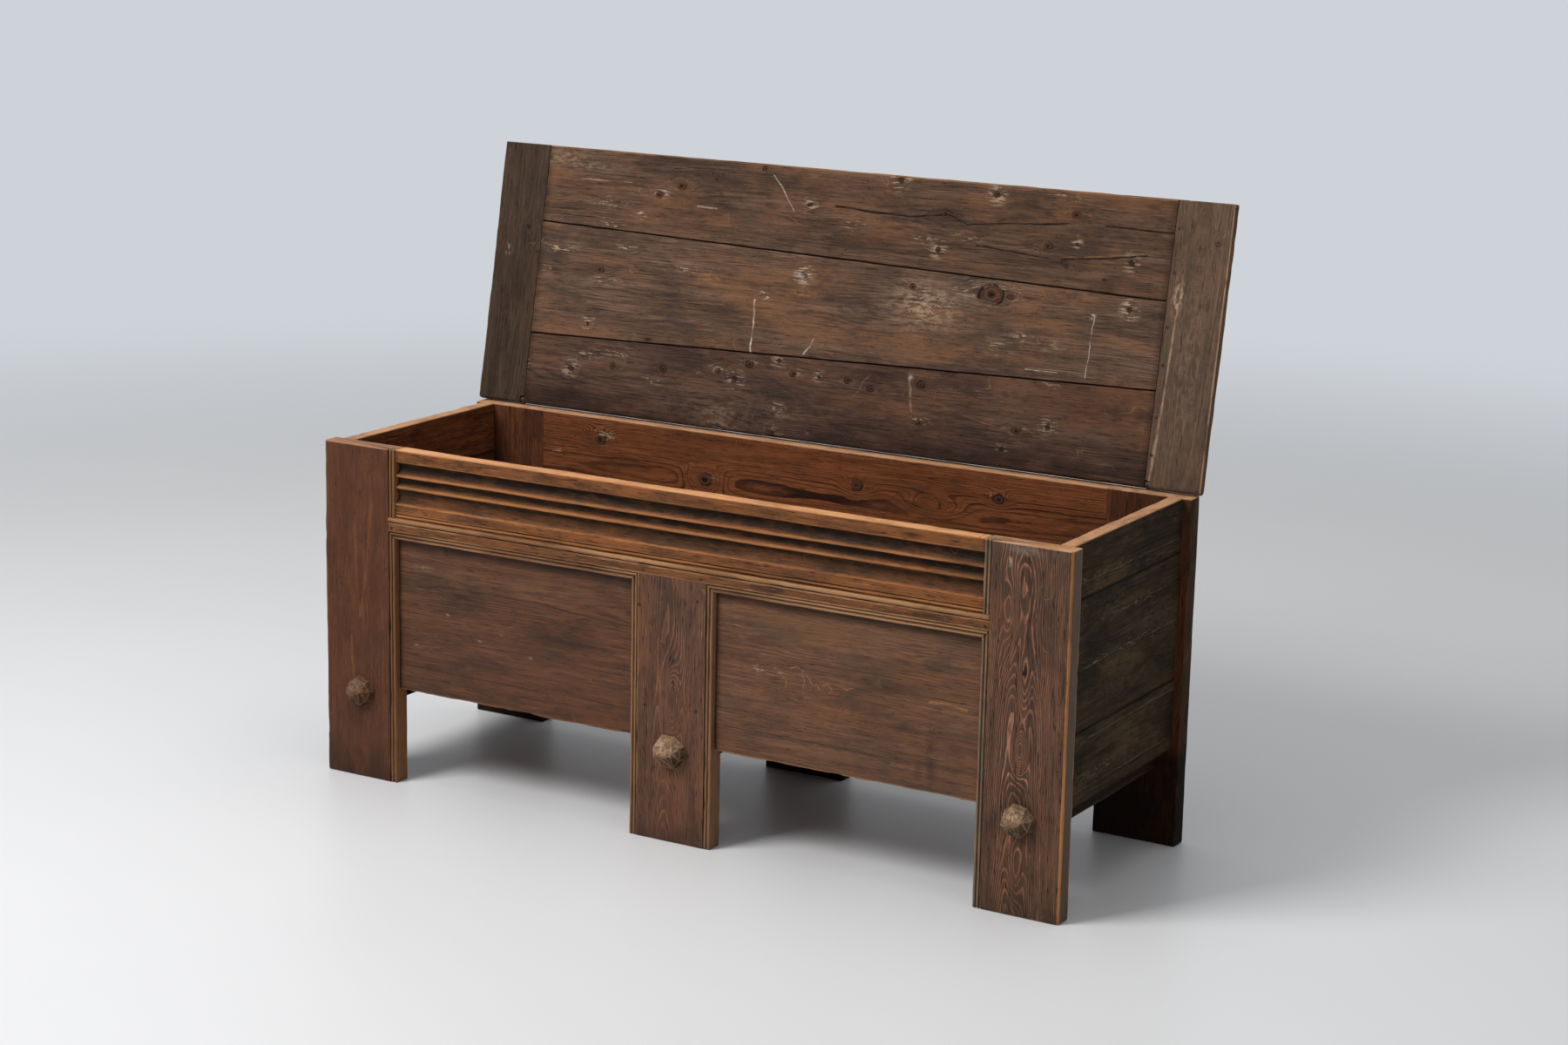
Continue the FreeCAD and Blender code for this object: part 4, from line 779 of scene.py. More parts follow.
def stand_in(made: Object, node: str, body: Body) -> Object:
    """Let a piece ride on its body and stand for its node, and report it."""
    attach(made, body.value)
    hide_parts(node)
    LOG.info("%s: %d faces", made.name, len(made.data.polygons))
    return made


def close(shape: bmesh.types.BMesh, mesh: Mesh, slivers: bool = False) -> Mesh:
    """Weld a shape shut, turn its faces outwards and shade it smooth between sharp arrises.

    Args:
        shape: The shape, which is used up.
        mesh: The mesh that takes it.
        slivers: Whether slivers are dissolved.

    Returns:
        The mesh.
    """
    bmesh.ops.triangulate(shape, faces=[face for face in shape.faces if len(face.verts) > 4])
    bmesh.ops.remove_doubles(shape, verts=shape.verts, dist=WELD)
    if slivers:
        bmesh.ops.dissolve_degenerate(shape, edges=shape.edges, dist=SLIVER)
    bmesh.ops.recalc_face_normals(shape, faces=shape.faces)
    if shape.calc_volume(signed=True) < 0:
        bmesh.ops.reverse_faces(shape, faces=shape.faces)
    for face in shape.faces:
        face.smooth = True
    shape.to_mesh(mesh)
    shape.free()
    mesh.set_sharp_from_angle(angle=SHARP)
    return mesh


def new_tree(name: str, inputs: dict[str, str]) -> "Graph":
    """Start a Geometry Nodes tree that takes a geometry and some named inputs, given with their kinds."""
    tree = bpy.data.node_groups.new(name, "GeometryNodeTree")
    tree.interface.new_socket("Geometry", in_out="INPUT", socket_type="NodeSocketGeometry")
    for label, kind in inputs.items():
        tree.interface.new_socket(label, in_out="INPUT", socket_type=f"NodeSocket{kind}")
    tree.interface.new_socket("Geometry", in_out="OUTPUT", socket_type="NodeSocketGeometry")
    return Graph(tree)


def end_tree(graph: Graph, grown: NodeSocket, finish: NodeSocket) -> NodeTree:
    """End a Geometry Nodes tree with real meshes in their finish."""
    whole = graph.node("GeometryNodeRealizeInstances", {"Geometry": grown}).outputs[0]
    dressed = graph.node("GeometryNodeSetMaterial", {"Geometry": whole, "Material": finish}).outputs[0]
    graph.node("NodeGroupOutput", {"Geometry": dressed})
    return graph.tree


def add_values(mesh: Mesh, **values: Array) -> None:
    """Store numbers on a mesh's points, by name."""
    for name, numbers in values.items():
        flat = np.ascontiguousarray(numbers, dtype=np.float32).ravel()
        mesh.attributes.new(name, "FLOAT", "POINT").data.foreach_set("value", flat)


@dataclass
class Board:
    """One board: where it lies, its section, its wear and its material."""

    node: str
    body: Body
    lay: Lay
    timber: Timber
    section: Section
    shape: Shaper | None = None
    stations: Sequence[float] = ()
    step: float = 16 * MM
    rub: float = 1.0 * MM
    wave: float = 0.3 * MM
    ends: tuple[float, float] = (1.2 * MM, 1.2 * MM)
    end_wear: tuple[float, float] = (0.5, 0.5)
    edge_wear: tuple[float, float] = (1.0, 1.0)
    deepest: float = 2.5 * MM

    def build(self) -> Object:
        """Make the board's mesh, dress it and let it stand for its node.

        Returns:
            The board's object.
        """
        section = self.section
        worn = section.wear * np.where(section.places[:, 0] < self.lay.width / 2, *self.edge_wear)
        along, inset, ended = self._rings()
        depth = np.outer(inset, np.ones(len(section.run)))
        rub = Ripple(self.node + "_rub", 0.16)(along[:, None], section.run[None, :] * 3)
        nick = Ripple(self.node + "_nick", 0.035)(along[:, None], section.run[None, :] * 3)
        bite = Ripple(self.node + "_bite", 0.08, 14)(along[:, None], section.run[None, :] * 2) - 1.1
        lost = np.clip(0.35 + 0.45 * rub + 0.3 * nick, 0, None) * self.rub
        lost = (lost + np.clip(bite * 3.5 * self.rub, 0, self.deepest)) * worn[None, :]
        plane = Ripple(self.node + "_plane", 0.13)(along[:, None], section.run[None, :]) * self.wave
        shift = plane - lost - depth
        across = section.places[None, :, 0] + section.normals[None, :, 0] * shift
        out = section.places[None, :, 1] + section.normals[None, :, 1] * shift
        lengthways = np.broadcast_to(along[:, None], across.shape).copy()
        if self.shape:
            lengthways, across, out = self.shape(lengthways, across, out)
        points = self.lay.place(lengthways, across, out)
        wear = np.maximum(np.broadcast_to(worn, across.shape), ended[:, None])
        grime = np.broadcast_to(section.grime, across.shape)
        mesh = self._mesh(points, wear, grime)
        mesh.materials.append(self.timber.material())
        return stand_in(linked(f"{self.node}_wood", mesh), self.node, self.body)

    def _rings(self) -> tuple[Array, Array, Array]:
        """Where the rings lie along the board, how far each is drawn in and how worn the ends are."""
        length, (low, high) = self.lay.length, self.ends
        count = max(2, math.ceil((length - 5 * (low + high)) / self.step))
        inner = np.linspace(5 * low, length - 5 * high, count + 1)
        fixed = np.array(list(self.stations))
        if len(fixed):
            inner = inner[np.abs(inner[:, None] - fixed[None, :]).min(1) > 0.25 * self.step]
        shares = np.array([0, 0.3, 1, 2.5])
        along = np.unique(np.round(np.concatenate([shares * low, length - shares * high, inner, fixed]), 7))
        inset, ended = np.zeros(len(along)), np.zeros(len(along))
        for away, ease, worn in ((along, low, self.end_wear[0]), (length - along, high, self.end_wear[1])):
            inset = np.where(away < 0.1 * ease, ease, np.where(away < 0.9 * ease, 0.3 * ease, inset))
            ended = np.where(away < 1.2 * ease, worn, ended)
        return along, inset, ended

    @staticmethod
    def _mesh(points: Array, wear: Array, grime: Array) -> Mesh:
        """Join the rings, close the ends and store the wear and the painted shade."""
        rings, around = points.shape[:2]
        number = np.arange(rings * around).reshape(rings, around)
        after = np.roll(number, -1, 1)
        quads = np.stack([number[:-1], after[:-1], after[1:], number[1:]], -1).reshape(-1, 4)
        mesh = bpy.data.meshes.new("board")
        caps = [number[0][::-1].tolist(), number[-1].tolist()]
        mesh.from_pydata(points.reshape(-1, 3).tolist(), [], quads.tolist() + caps)
        add_values(mesh, wear=wear, grime=grime)
        shape = bmesh.new()
        shape.from_mesh(mesh)
        return close(shape, mesh, slivers=True)


BLACK, DARK, RED = (0.008, 0.006, 0.005), (0.018, 0.011, 0.008), (0.13, 0.04, 0.018)
ORANGE, PALE, CREAM, WHITE = (0.3, 0.125, 0.045), (0.33, 0.225, 0.145), (0.5, 0.35, 0.22), (0.5, 0.42, 0.35)
KHAKI, DUST, OLIVE, OCHRE = (0.2, 0.15, 0.1), (0.13, 0.09, 0.062), (0.075, 0.055, 0.032), (0.32, 0.17, 0.075)
SALMON = (0.52, 0.28, 0.15)
PAINTED_SHADE_BLACK, PITCH, CHAR = (0.012, 0.008, 0.006), (0.01, 0.007, 0.006), (0.02, 0.012, 0.009)
KNOT_RED, KNOT_DARK = (0.085, 0.036, 0.02), (0.04, 0.02, 0.013)
RED_PINE = Pine(valley=(0.105, 0.044, 0.023), ridge=(0.2, 0.092, 0.044), warm=(0.16, 0.06, 0.024),
    patina=(0.042, 0.024, 0.017), worn=(0.28, 0.13, 0.055), roughness=0.5, coat=0.03, wear_show=0.8)
SMOOTH_PINE = replace(RED_PINE, ring_show=0.25, fibre_show=0.25, warm_show=0.3, patina_show=0.4)
LEG_PINE = replace(RED_PINE, valley=(0.085, 0.038, 0.022), ridge=(0.26, 0.115, 0.062), ring_show=0.9,
    fibre_show=0.45, tick_show=0.9, patina_show=0.6)
FLAME_PINE = replace(RED_PINE, valley=(0.062, 0.031, 0.02), ridge=(0.33, 0.14, 0.075), ring_show=1.0, warm_show=0.3,
    fibre_show=0.5, tick_show=0.9, patina_show=0.5, worn=(0.36, 0.15, 0.055), wear_show=1.0)
PANEL_PINE = replace(RED_PINE, valley=(0.145, 0.063, 0.034), ridge=(0.03, 0.016, 0.012),
    patina=(0.04, 0.027, 0.022), ring_show=0.95, patina_show=0.6, fibre_show=0.5, tick_show=0.5)
# The dark pine of the ends and the back: partly the wood's own tone, partly painted shade of the shaded ends.
SIDE_PINE = Pine(valley=(0.034, 0.022, 0.012), ridge=(0.08, 0.055, 0.032), warm=(0.09, 0.058, 0.027),
    fibre_show=0.55, patina=(0.014, 0.011, 0.0085), worn=(0.18, 0.11, 0.06), roughness=0.68, gloss=0.03,
    wear_show=0.5, patina_show=0.8, warm_show=0.6, stripe_show=0.3, tick_show=0.8)
# Near-black pine of the bearers: painted shadow, as they lie in the shade under the chest.
SHADOWED_BEARER_PINE = replace(SIDE_PINE, valley=(0.016, 0.01, 0.007), ridge=(0.03, 0.019, 0.012), warm=(0.03, 0.016, 0.01))
INNER_PINE = Pine(valley=(0.165, 0.054, 0.021), ridge=(0.022, 0.009, 0.006), warm=(0.2, 0.064, 0.024),
    patina=(0.05, 0.021, 0.012), worn=(0.4, 0.24, 0.13), ring_show=1.0, patina_show=0.45, warm_show=0.35,
    gloss=0.04, fibre_show=0.45)
CORNER_PINE = replace(INNER_PINE, valley=(0.085, 0.031, 0.014), warm=(0.11, 0.037, 0.016), worn=(0.2, 0.11, 0.055))
LID_PINE = Pine(valley=(0.1, 0.056, 0.036), ridge=(0.04, 0.024, 0.017), warm=(0.165, 0.075, 0.036),
    patina=(0.032, 0.023, 0.019), worn=(0.27, 0.13, 0.056), ring_show=0.9, roughness=0.7, gloss=0.04,
    warm_show=0.65, patina_show=0.65, dust_show=0.9, fibre_show=0.7, tick_show=0.5, scratch_show=1.0, knotty=0.26)
FRIEZE_PINE = Pine(valley=(0.13, 0.053, 0.023), ridge=(0.2, 0.088, 0.04), warm=(0.18, 0.068, 0.026),
    patina=(0.04, 0.024, 0.016), worn=(0.28, 0.125, 0.05), roughness=0.5, gloss=0.06, grime_show=1.0, wear_show=0.8,
    patina_show=0.75, fibre_show=0.4, tick_show=0.8)
RAIL_PINE = replace(FRIEZE_PINE, worn=(0.38, 0.2, 0.095), wear_show=0.85, grime_show=0.85)
PEG_WOOD = Pine(valley=(0.125, 0.077, 0.047), ridge=(0.2, 0.135, 0.085), warm=(0.17, 0.08, 0.035),
    patina=(0.055, 0.036, 0.026), worn=(0.32, 0.2, 0.115), roughness=0.68, gloss=0.06, fibre_show=0.6)
BATTEN_PINE = Pine(valley=(0.062, 0.04, 0.026), ridge=(0.12, 0.082, 0.056), warm=(0.085, 0.047, 0.027),
    patina=(0.028, 0.02, 0.015), worn=(0.27, 0.17, 0.1), roughness=0.68, gloss=0.05, dust_show=0.4)
PIN_WOOD = Pine(valley=(0.04, 0.024, 0.016), ridge=(0.075, 0.046, 0.03), warm=(0.07, 0.034, 0.02),
    patina=(0.02, 0.014, 0.011), worn=(0.18, 0.1, 0.055), roughness=0.7, gloss=0.1)


def cracked(*path: tuple[float, float], width: float = 1.6, deep: float = 0.5) -> Streak:
    """A crack through places on a board."""
    return Streak(path, width, BLACK, 1.0, 0.3, deep)


def scratched(*path: tuple[float, float], width: float = 3.0, colour: Colour = ORANGE,
        strength: float = 0.8) -> Streak:
    """A pale scratch through places on a board."""
    return Streak(path, width, colour, strength, 0.7)


def torn(along: float, across: float, wide: float = 26, high: float = 9, colour: Colour = PALE,
        strength: float = 1.2) -> Patch:
    """A place where pale fibres are torn up."""
    return Patch(along, across, (wide, high), colour, strength, touch=Touch.TORN)


def dusty(along: float, across: float, wide: float, high: float, colour: Colour = DUST,
        strength: float = 0.6) -> Patch:
    """A finely rubbed or dusty place."""
    return Patch(along, across, (wide, high), colour, strength, touch=Touch.RUB)


def stained(along: float, across: float, wide: float, high: float, colour: Colour = DARK,
        strength: float = 0.55) -> Patch:
    """A stain."""
    return Patch(along, across, (wide, high), colour, strength)


def each(kind: Callable, *rows: Sequence) -> list:
    """Several marks of one kind, from a row of values each."""
    return [kind(*row) for row in rows]


def rim(way: Way, size: float) -> Band:
    """The pale top of a board whose size that way is given in metres: rubbed wear and a painted highlight of the
    light from above.
    """
    return Band(way, size / MM - 0.6, -2.2, SALMON, 0.85, 0.4)


@dataclass
class Bead:
    """The double bead that frames the panels."""

    width: float = 6.3 * MM
    quirk: float = 1.2 * MM
    deep: float = 2.6 * MM
    round: float = 0.53

    @property
    def breadth(self) -> float:
        """How wide the whole double bead is."""
        return 2 * (self.width + self.quirk)

    def to_edge(self, outline: Outline, place: float, way: int) -> Outline:
        """Run from the flat out to an edge, where way is 1 for higher places across and -1 for lower."""
        for _ in range(2):
            outline.line(place, -self.deep)
            place += way * self.quirk
            outline.line(place, -self.deep)
            place += way * self.width
            outline.arc(place, -self.deep, self.width * self.round, way)
        return outline

    def from_edge(self, outline: Outline, place: float, way: int) -> Outline:
        """Run from an edge, which the outline has reached, back to the flat."""
        for _ in range(2):
            place += way * self.width
            outline.arc(place, -self.deep, self.width * self.round, way)
            place += way * self.quirk
            outline.line(place, -self.deep)
        return outline.line(place, 0)

    def places(self, steps: int = 6) -> list[float]:
        """How far the double bead's own places lie from the edge."""
        radius = self.width * self.round
        half = math.asin(self.width / 2 / radius)
        across = [self.width / 2 + radius * math.sin(half * (2 * n / steps - 1)) for n in range(steps + 1)]
        first = self.width + self.quirk
        return sorted({round(v, 7) for v in across + [first] + [first + v for v in across] + [self.breadth]})


@dataclass
class FrontFrame:
    """The show side: three legs, the moulded frieze, the proud middle rail and two panels."""

    bead: Bead = field(default_factory=Bead)
    face: float = field(default_factory=lambda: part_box("front_left_leg")[0].y)
    foot: float = field(default_factory=lambda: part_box("middle_rail")[0].z)
    top: float = field(default_factory=lambda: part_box("frieze_rail")[0].z)
    lap_deep: float = 12.3 * MM
    leg_arris: float = 2.5 * MM
    tongue: float = 9.5 * MM
    torus: float = 9.7 * MM
    torus_step: float = 1.2 * MM

    def corner_leg(self, side: int) -> Board:
        """A corner leg, beaded on its inner edge and cut back where the middle rail laps over it."""
        node = "front_left_leg" if side < 0 else "front_right_leg"
        lay = Lay.of_node(node, "Z", "-Y")
        deep, width, worn = -lay.thickness, lay.width, self.leg_arris
        if side > 0:
            outline = Outline(0, deep).line(width, deep).line(width, -worn).line(width - worn, 0)
            outline.line(self.bead.breadth, 0)
            self.bead.to_edge(outline, self.bead.breadth, -1)
        else:
            outline = Outline(width, deep).line(0, deep).line(0, -worn).line(worn, 0)
            outline.line(width - self.bead.breadth, 0)
            self.bead.to_edge(outline, width - self.bead.breadth, 1)
        foot, top, breadth = self.foot, self.top + 0.3 * MM, self.bead.breadth
        edge = 0.0 if side > 0 else width

        def lap(along: Array, across: Array, out: Array) -> Places:
            """Cut the bead back behind the middle rail, from a mitre up to the frieze."""
            inner = np.abs(across - edge)
            cut = (along > foot + inner - 0.01 * MM) & (along < top) & (inner < breadth + 0.01 * MM)
            return along, across, np.where(cut & (out > deep / 2), -self.lap_deep, out)

        stations = [foot + away for away in self.bead.places()] + [top - 0.4 * MM, top]
        timber = self._left_timber(node, lay) if side < 0 else self._right_timber(node, lay)
        return Board(node, Body.CHEST, lay, timber, outline.section(1.6 * MM), lap, stations,
            ends=(2.5 * MM, 1.6 * MM), edge_wear=(1.4, 0.55) if side < 0 else (0.55, 1.4))

    @staticmethod
    def _left_timber(node: str, lay: Lay) -> Timber:
        """The smooth wood of the left leg."""
        streaks = (scratched((585, -730), (436, -745), (348, -760), width=8, colour=(0.22, 0.085, 0.035),
            strength=0.45), scratched((546, -775), (442, -770), (390, -764), width=7, colour=(0.22, 0.085, 0.035),
            strength=0.4), scratched((300, -784), (215, -780), width=6, strength=0.3))
        bands = (rim(Way.ALONG, lay.length), Band(Way.ALONG, 10, 90, DARK, 0.6, 0.8),
            Band(Way.ACROSS, lay.width / MM - 15, -0.6, OCHRE, 0.75))
        grain = Grain(pith=(0.06, -0.12), slope=(0.004, 0.01), ring=0.0042, flame=0.004)
        patches = (stained(420, -765, 260, 110, (0.075, 0.026, 0.012), 0.8), stained(150, -765, 70, 40, DARK, 0.35))
        return Timber(node, lay, SMOOTH_PINE, grain, (), streaks, patches, bands, CORNER_PINE, (0.8, 0.71, 0.63))

    @staticmethod
    def _right_timber(node: str, lay: Lay) -> Timber:
        """The flamed wood of the right leg."""
        knots = each(Knot, (583, 728, 9, 1.2, 0, 4.5), (440, 761, 9, 1.3, 0, 4.5), (317, 757, 9, 2.3, 0, 2.5),
            (82, 758, 9, 1.4, 0, 4.2))
        patches = (stained(205, 760, 46, 44, DARK, 0.7), stained(162, 701, 60, 14),
            stained(120, 790, 70, 16, DARK, 0.4), dusty(672, 725, 10, 4, PALE, 1.0),
            stained(698, 767, 9, 45, (0.17, 0.13, 0.1), 0.9), stained(520, 800, 60, 12, DARK, 0.35))
        bands = (rim(Way.ALONG, lay.length), Band(Way.ALONG, 8, 60, DARK, 0.4),
            Band(Way.ACROSS, 15, 0.6, KHAKI, 0.6), Band(Way.ACROSS, lay.width / MM - 0.3, -0.5, OLIVE, 0.7))
        grain = Grain(pith=(0.08, -0.036), slope=(0.004, -0.05), ring=0.0023, sway=0.006, flame=0.006,
            flame_wave=0.3, line=(0.58, 0.88))
        return Timber(node, lay, FLAME_PINE, grain, knots, (), patches, bands, CORNER_PINE, (1.08, 1.12, 1.12))

    def middle_leg(self) -> Board:
        """The middle leg, beaded on both edges and mitred into the rail's bead."""
        node = "front_middle_leg"
        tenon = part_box(node)[1].z - self.foot - self.bead.breadth
        lay = Lay.of_node(node, "Z", "-Y", (0, tenon, 0, 0))
        deep, width, breadth = -lay.thickness, lay.width, self.bead.breadth
        outline = Outline(width, deep).line(0, deep).line(0, -self.bead.deep)
        self.bead.from_edge(outline, 0, 1)
        outline.line(width - breadth, 0)
        self.bead.to_edge(outline, width - breadth, 1)
        foot = self.foot

        def mitre(along: Array, across: Array, out: Array) -> Places:
            """Stop each place of the bead at the mitre."""
            return np.minimum(along, foot + np.minimum(across, width - across).clip(0)), across, out

        stations = [foot + away for away in self.bead.places()[:-1]]
        grain = Grain(pith=(0.08, -0.04), slope=(0.006, -0.04), ring=0.0024, sway=0.006, flame=0.006,
            flame_wave=0.3)
        patches = (stained(67, 5, 60, 45, RED, 0.5), stained(60, 60, 70, 14, DARK, 0.5),
            stained(160, -60, 60, 12, DARK, 0.4))
        bands = (Band(Way.ALONG, 6, 50, DARK, 0.4), Band(Way.ACROSS, 15, 0.6, OCHRE, 0.5),
            Band(Way.ACROSS, lay.width / MM - 15, -0.6, OCHRE, 0.5))
        timber = Timber(node, lay, LEG_PINE, grain, (Knot(275, 2, 12, 2.0, 0, 3.6),), (), patches, bands,
            INNER_PINE, (0.97, 1.03, 1.12))
        return Board(node, Body.CHEST, lay, timber, outline.section(1.4 * MM), mitre, stations,
            ends=(2.5 * MM, 0.1 * MM))

    def middle_rail(self) -> Board:
        """The proud rail: torus, flat and bead, lapped over the legs and notched round the middle one."""
        node = "middle_rail"
        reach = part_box("front_right_leg")[0].x + self.bead.breadth
        low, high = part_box(node)
        lay = Lay(Vector((-reach, self.face, low.z)), RIGHTWARDS, UPWARDS, FORWARDS, 2 * reach, high.z - low.z,
            high.y - self.face)
        deep, width, step = -lay.thickness, lay.width, self.torus_step
        outline = Outline(width, deep).line(0, deep).line(0, -self.bead.deep)
        self.bead.from_edge(outline, 0, 1)
        outline.line(width - self.torus - step, 0).line(width - self.torus - step, -self.bead.deep)
        outline.line(width - self.torus, -self.bead.deep).line(width - self.torus, -step)
        outline.arc(width, -step, self.torus * 0.53, 1, 8)
        breadth, corner, middle = self.bead.breadth, self.bead.breadth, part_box("front_middle_leg")[1].x + 0.3 * MM
        inner = reach - breadth

        def fit(along: Array, across: Array, out: Array) -> Places:
            """Mitre the foot at the legs, and thin the ends that lap over them."""
            aside = np.abs(along - reach)
            notch = np.clip(middle - aside, 0, breadth + 0.3 * MM)
            mitre = np.clip(aside - inner, 0, breadth)
            out = np.where(aside > inner + 0.1 * MM, np.maximum(out, 0.3 * MM - self.lap_deep), out)
            return along, np.maximum(across, np.maximum(notch, mitre)), out

        places = self.bead.places()
        stations = [inner + 0.05 * MM, inner + 0.2 * MM] + [inner + p for p in places[1:-1]]
        stations += [middle - p for p in places] + [middle - breadth - 0.3 * MM]
        stations = [reach + way * s for s in stations for way in (-1, 1)]
        grain = Grain(pith=(0.06, -0.02), slope=(0.004, 0.006), ring=0.003, flame=0.004)
        timber = Timber(node, lay, RAIL_PINE, grain, back=INNER_PINE)
        return Board(node, Body.CHEST, lay, timber, outline.section(0.5 * MM), fit, stations, ends=(CLEAR, CLEAR),
            rub=0.6 * MM)

    def panel(self, side: int) -> Board:
        """A panel between two legs, set back behind the beads."""
        node = "front_left_panel" if side < 0 else "front_right_panel"
        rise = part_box(node)[1].z - self.foot
        lay = Lay.of_node(node, "X", "-Y", (self.tongue, self.tongue, 0, rise))
        grain = Grain(pith=(0.24, -0.06), slope=(0.01, 0.004), ring=0.0026, sway=0.007, flame=0.005)
        knots, streaks, patches = self._left_marks() if side < 0 else self._right_marks()
        # Painted shade: darker under the middle rail at the panel's top, and beside the legs at its ends.
        bands = (Band(Way.ACROSS, lay.width / MM - 2, -26, DARK, 0.7, 0.3), Band(Way.ALONG, 1, 7, DARK, 0.7),
            Band(Way.ALONG, lay.length / MM - 1, -7, DARK, 0.7))
        tint = (0.72, 0.7, 0.68) if side < 0 else (0.95, 1.03, 1.03)
        timber = Timber(node, lay, PANEL_PINE, grain, knots, streaks, patches, bands, INNER_PINE, tint)
        return Board(node, Body.CHEST, lay, timber, lay.plain().section(2.2 * MM), rub=1.6 * MM, wave=0.45 * MM,
            edge_wear=(1.3, 0.4), end_wear=(0, 0))

    @staticmethod
    def _left_marks() -> tuple:
        """The knots, streaks and patches of the left panel."""
        pits = [Patch(x, z, (4, 2.4), PALE, 0.8, 0.4) for x, z in ((-546, 376), (-413, 354), (-467, 333),
            (-628, 302), (-343, 318), (-200, 296))]
        patches = [dusty(-607, 466, 24, 5, PALE, 0.7), *each(stained, (-504, 417, 60, 14, DARK, 0.4),
            (-260, 365, 60, 12, DARK, 0.4), (-400, 462, 230, 24, (0.21, 0.105, 0.052), 0.55),
            (-360, 300, 200, 20, (0.17, 0.07, 0.036), 0.4))] + pits
        streaks = (cracked((-655, 254), (-400, 253), (-110, 254), width=1.3, deep=0.3),
            cracked((-470, 300), (-330, 303), width=1.0, deep=0.3))
        return (Knot(-549, 510, 9, 1.6, 0.7),), streaks, patches

    @staticmethod
    def _right_marks() -> tuple:
        """The knots, streaks and patches of the right panel."""
        curls = (((240, 384), (244, 374), (252, 368), (250, 352)), ((262, 396), (276, 400), (292, 394), (300, 384)),
            ((286, 392), (292, 374), (287, 356), (294, 338)), ((303, 380), (310, 366), (318, 372), (326, 362)),
            ((272, 352), (284, 347), (300, 350)), ((330, 371), (342, 376), (352, 366), (346, 358)))
        streaks = tuple(scratched(*curl, width=2.2) for curl in curls) + (scratched((360, 377), (384, 371),
            (398, 376), width=4), scratched((495, 379), (518, 372), width=5),
            scratched((560, 377), (600, 380), (640, 373), width=5), cracked((302, 408), (400, 411), (503, 411)),
            cracked((566, 386), (661, 384)), cracked((105, 254), (380, 255), (660, 254), width=1.3, deep=0.3))
        patches = (torn(208, 381, 30, 10, PALE, 1.0), stained(467, 387, 55, 14),
            stained(487, 322, 70, 22, DARK, 0.45), Patch(218, 289, (5, 4), PALE, 1.0, 0.2),
            stained(567, 265, 10, 55), stained(540, 240, 8, 34, DARK, 0.4),
            stained(380, 468, 260, 34, (0.18, 0.085, 0.042), 0.45))
        return (Knot(420, 345, 14, 1.8, 0, 3.0),), streaks, patches

    def boards(self) -> list[Board]:
        """All boards of the front, but for the frieze."""
        return [self.corner_leg(-1), self.corner_leg(1), self.middle_leg(), self.middle_rail(), self.panel(-1),
            self.panel(1)]


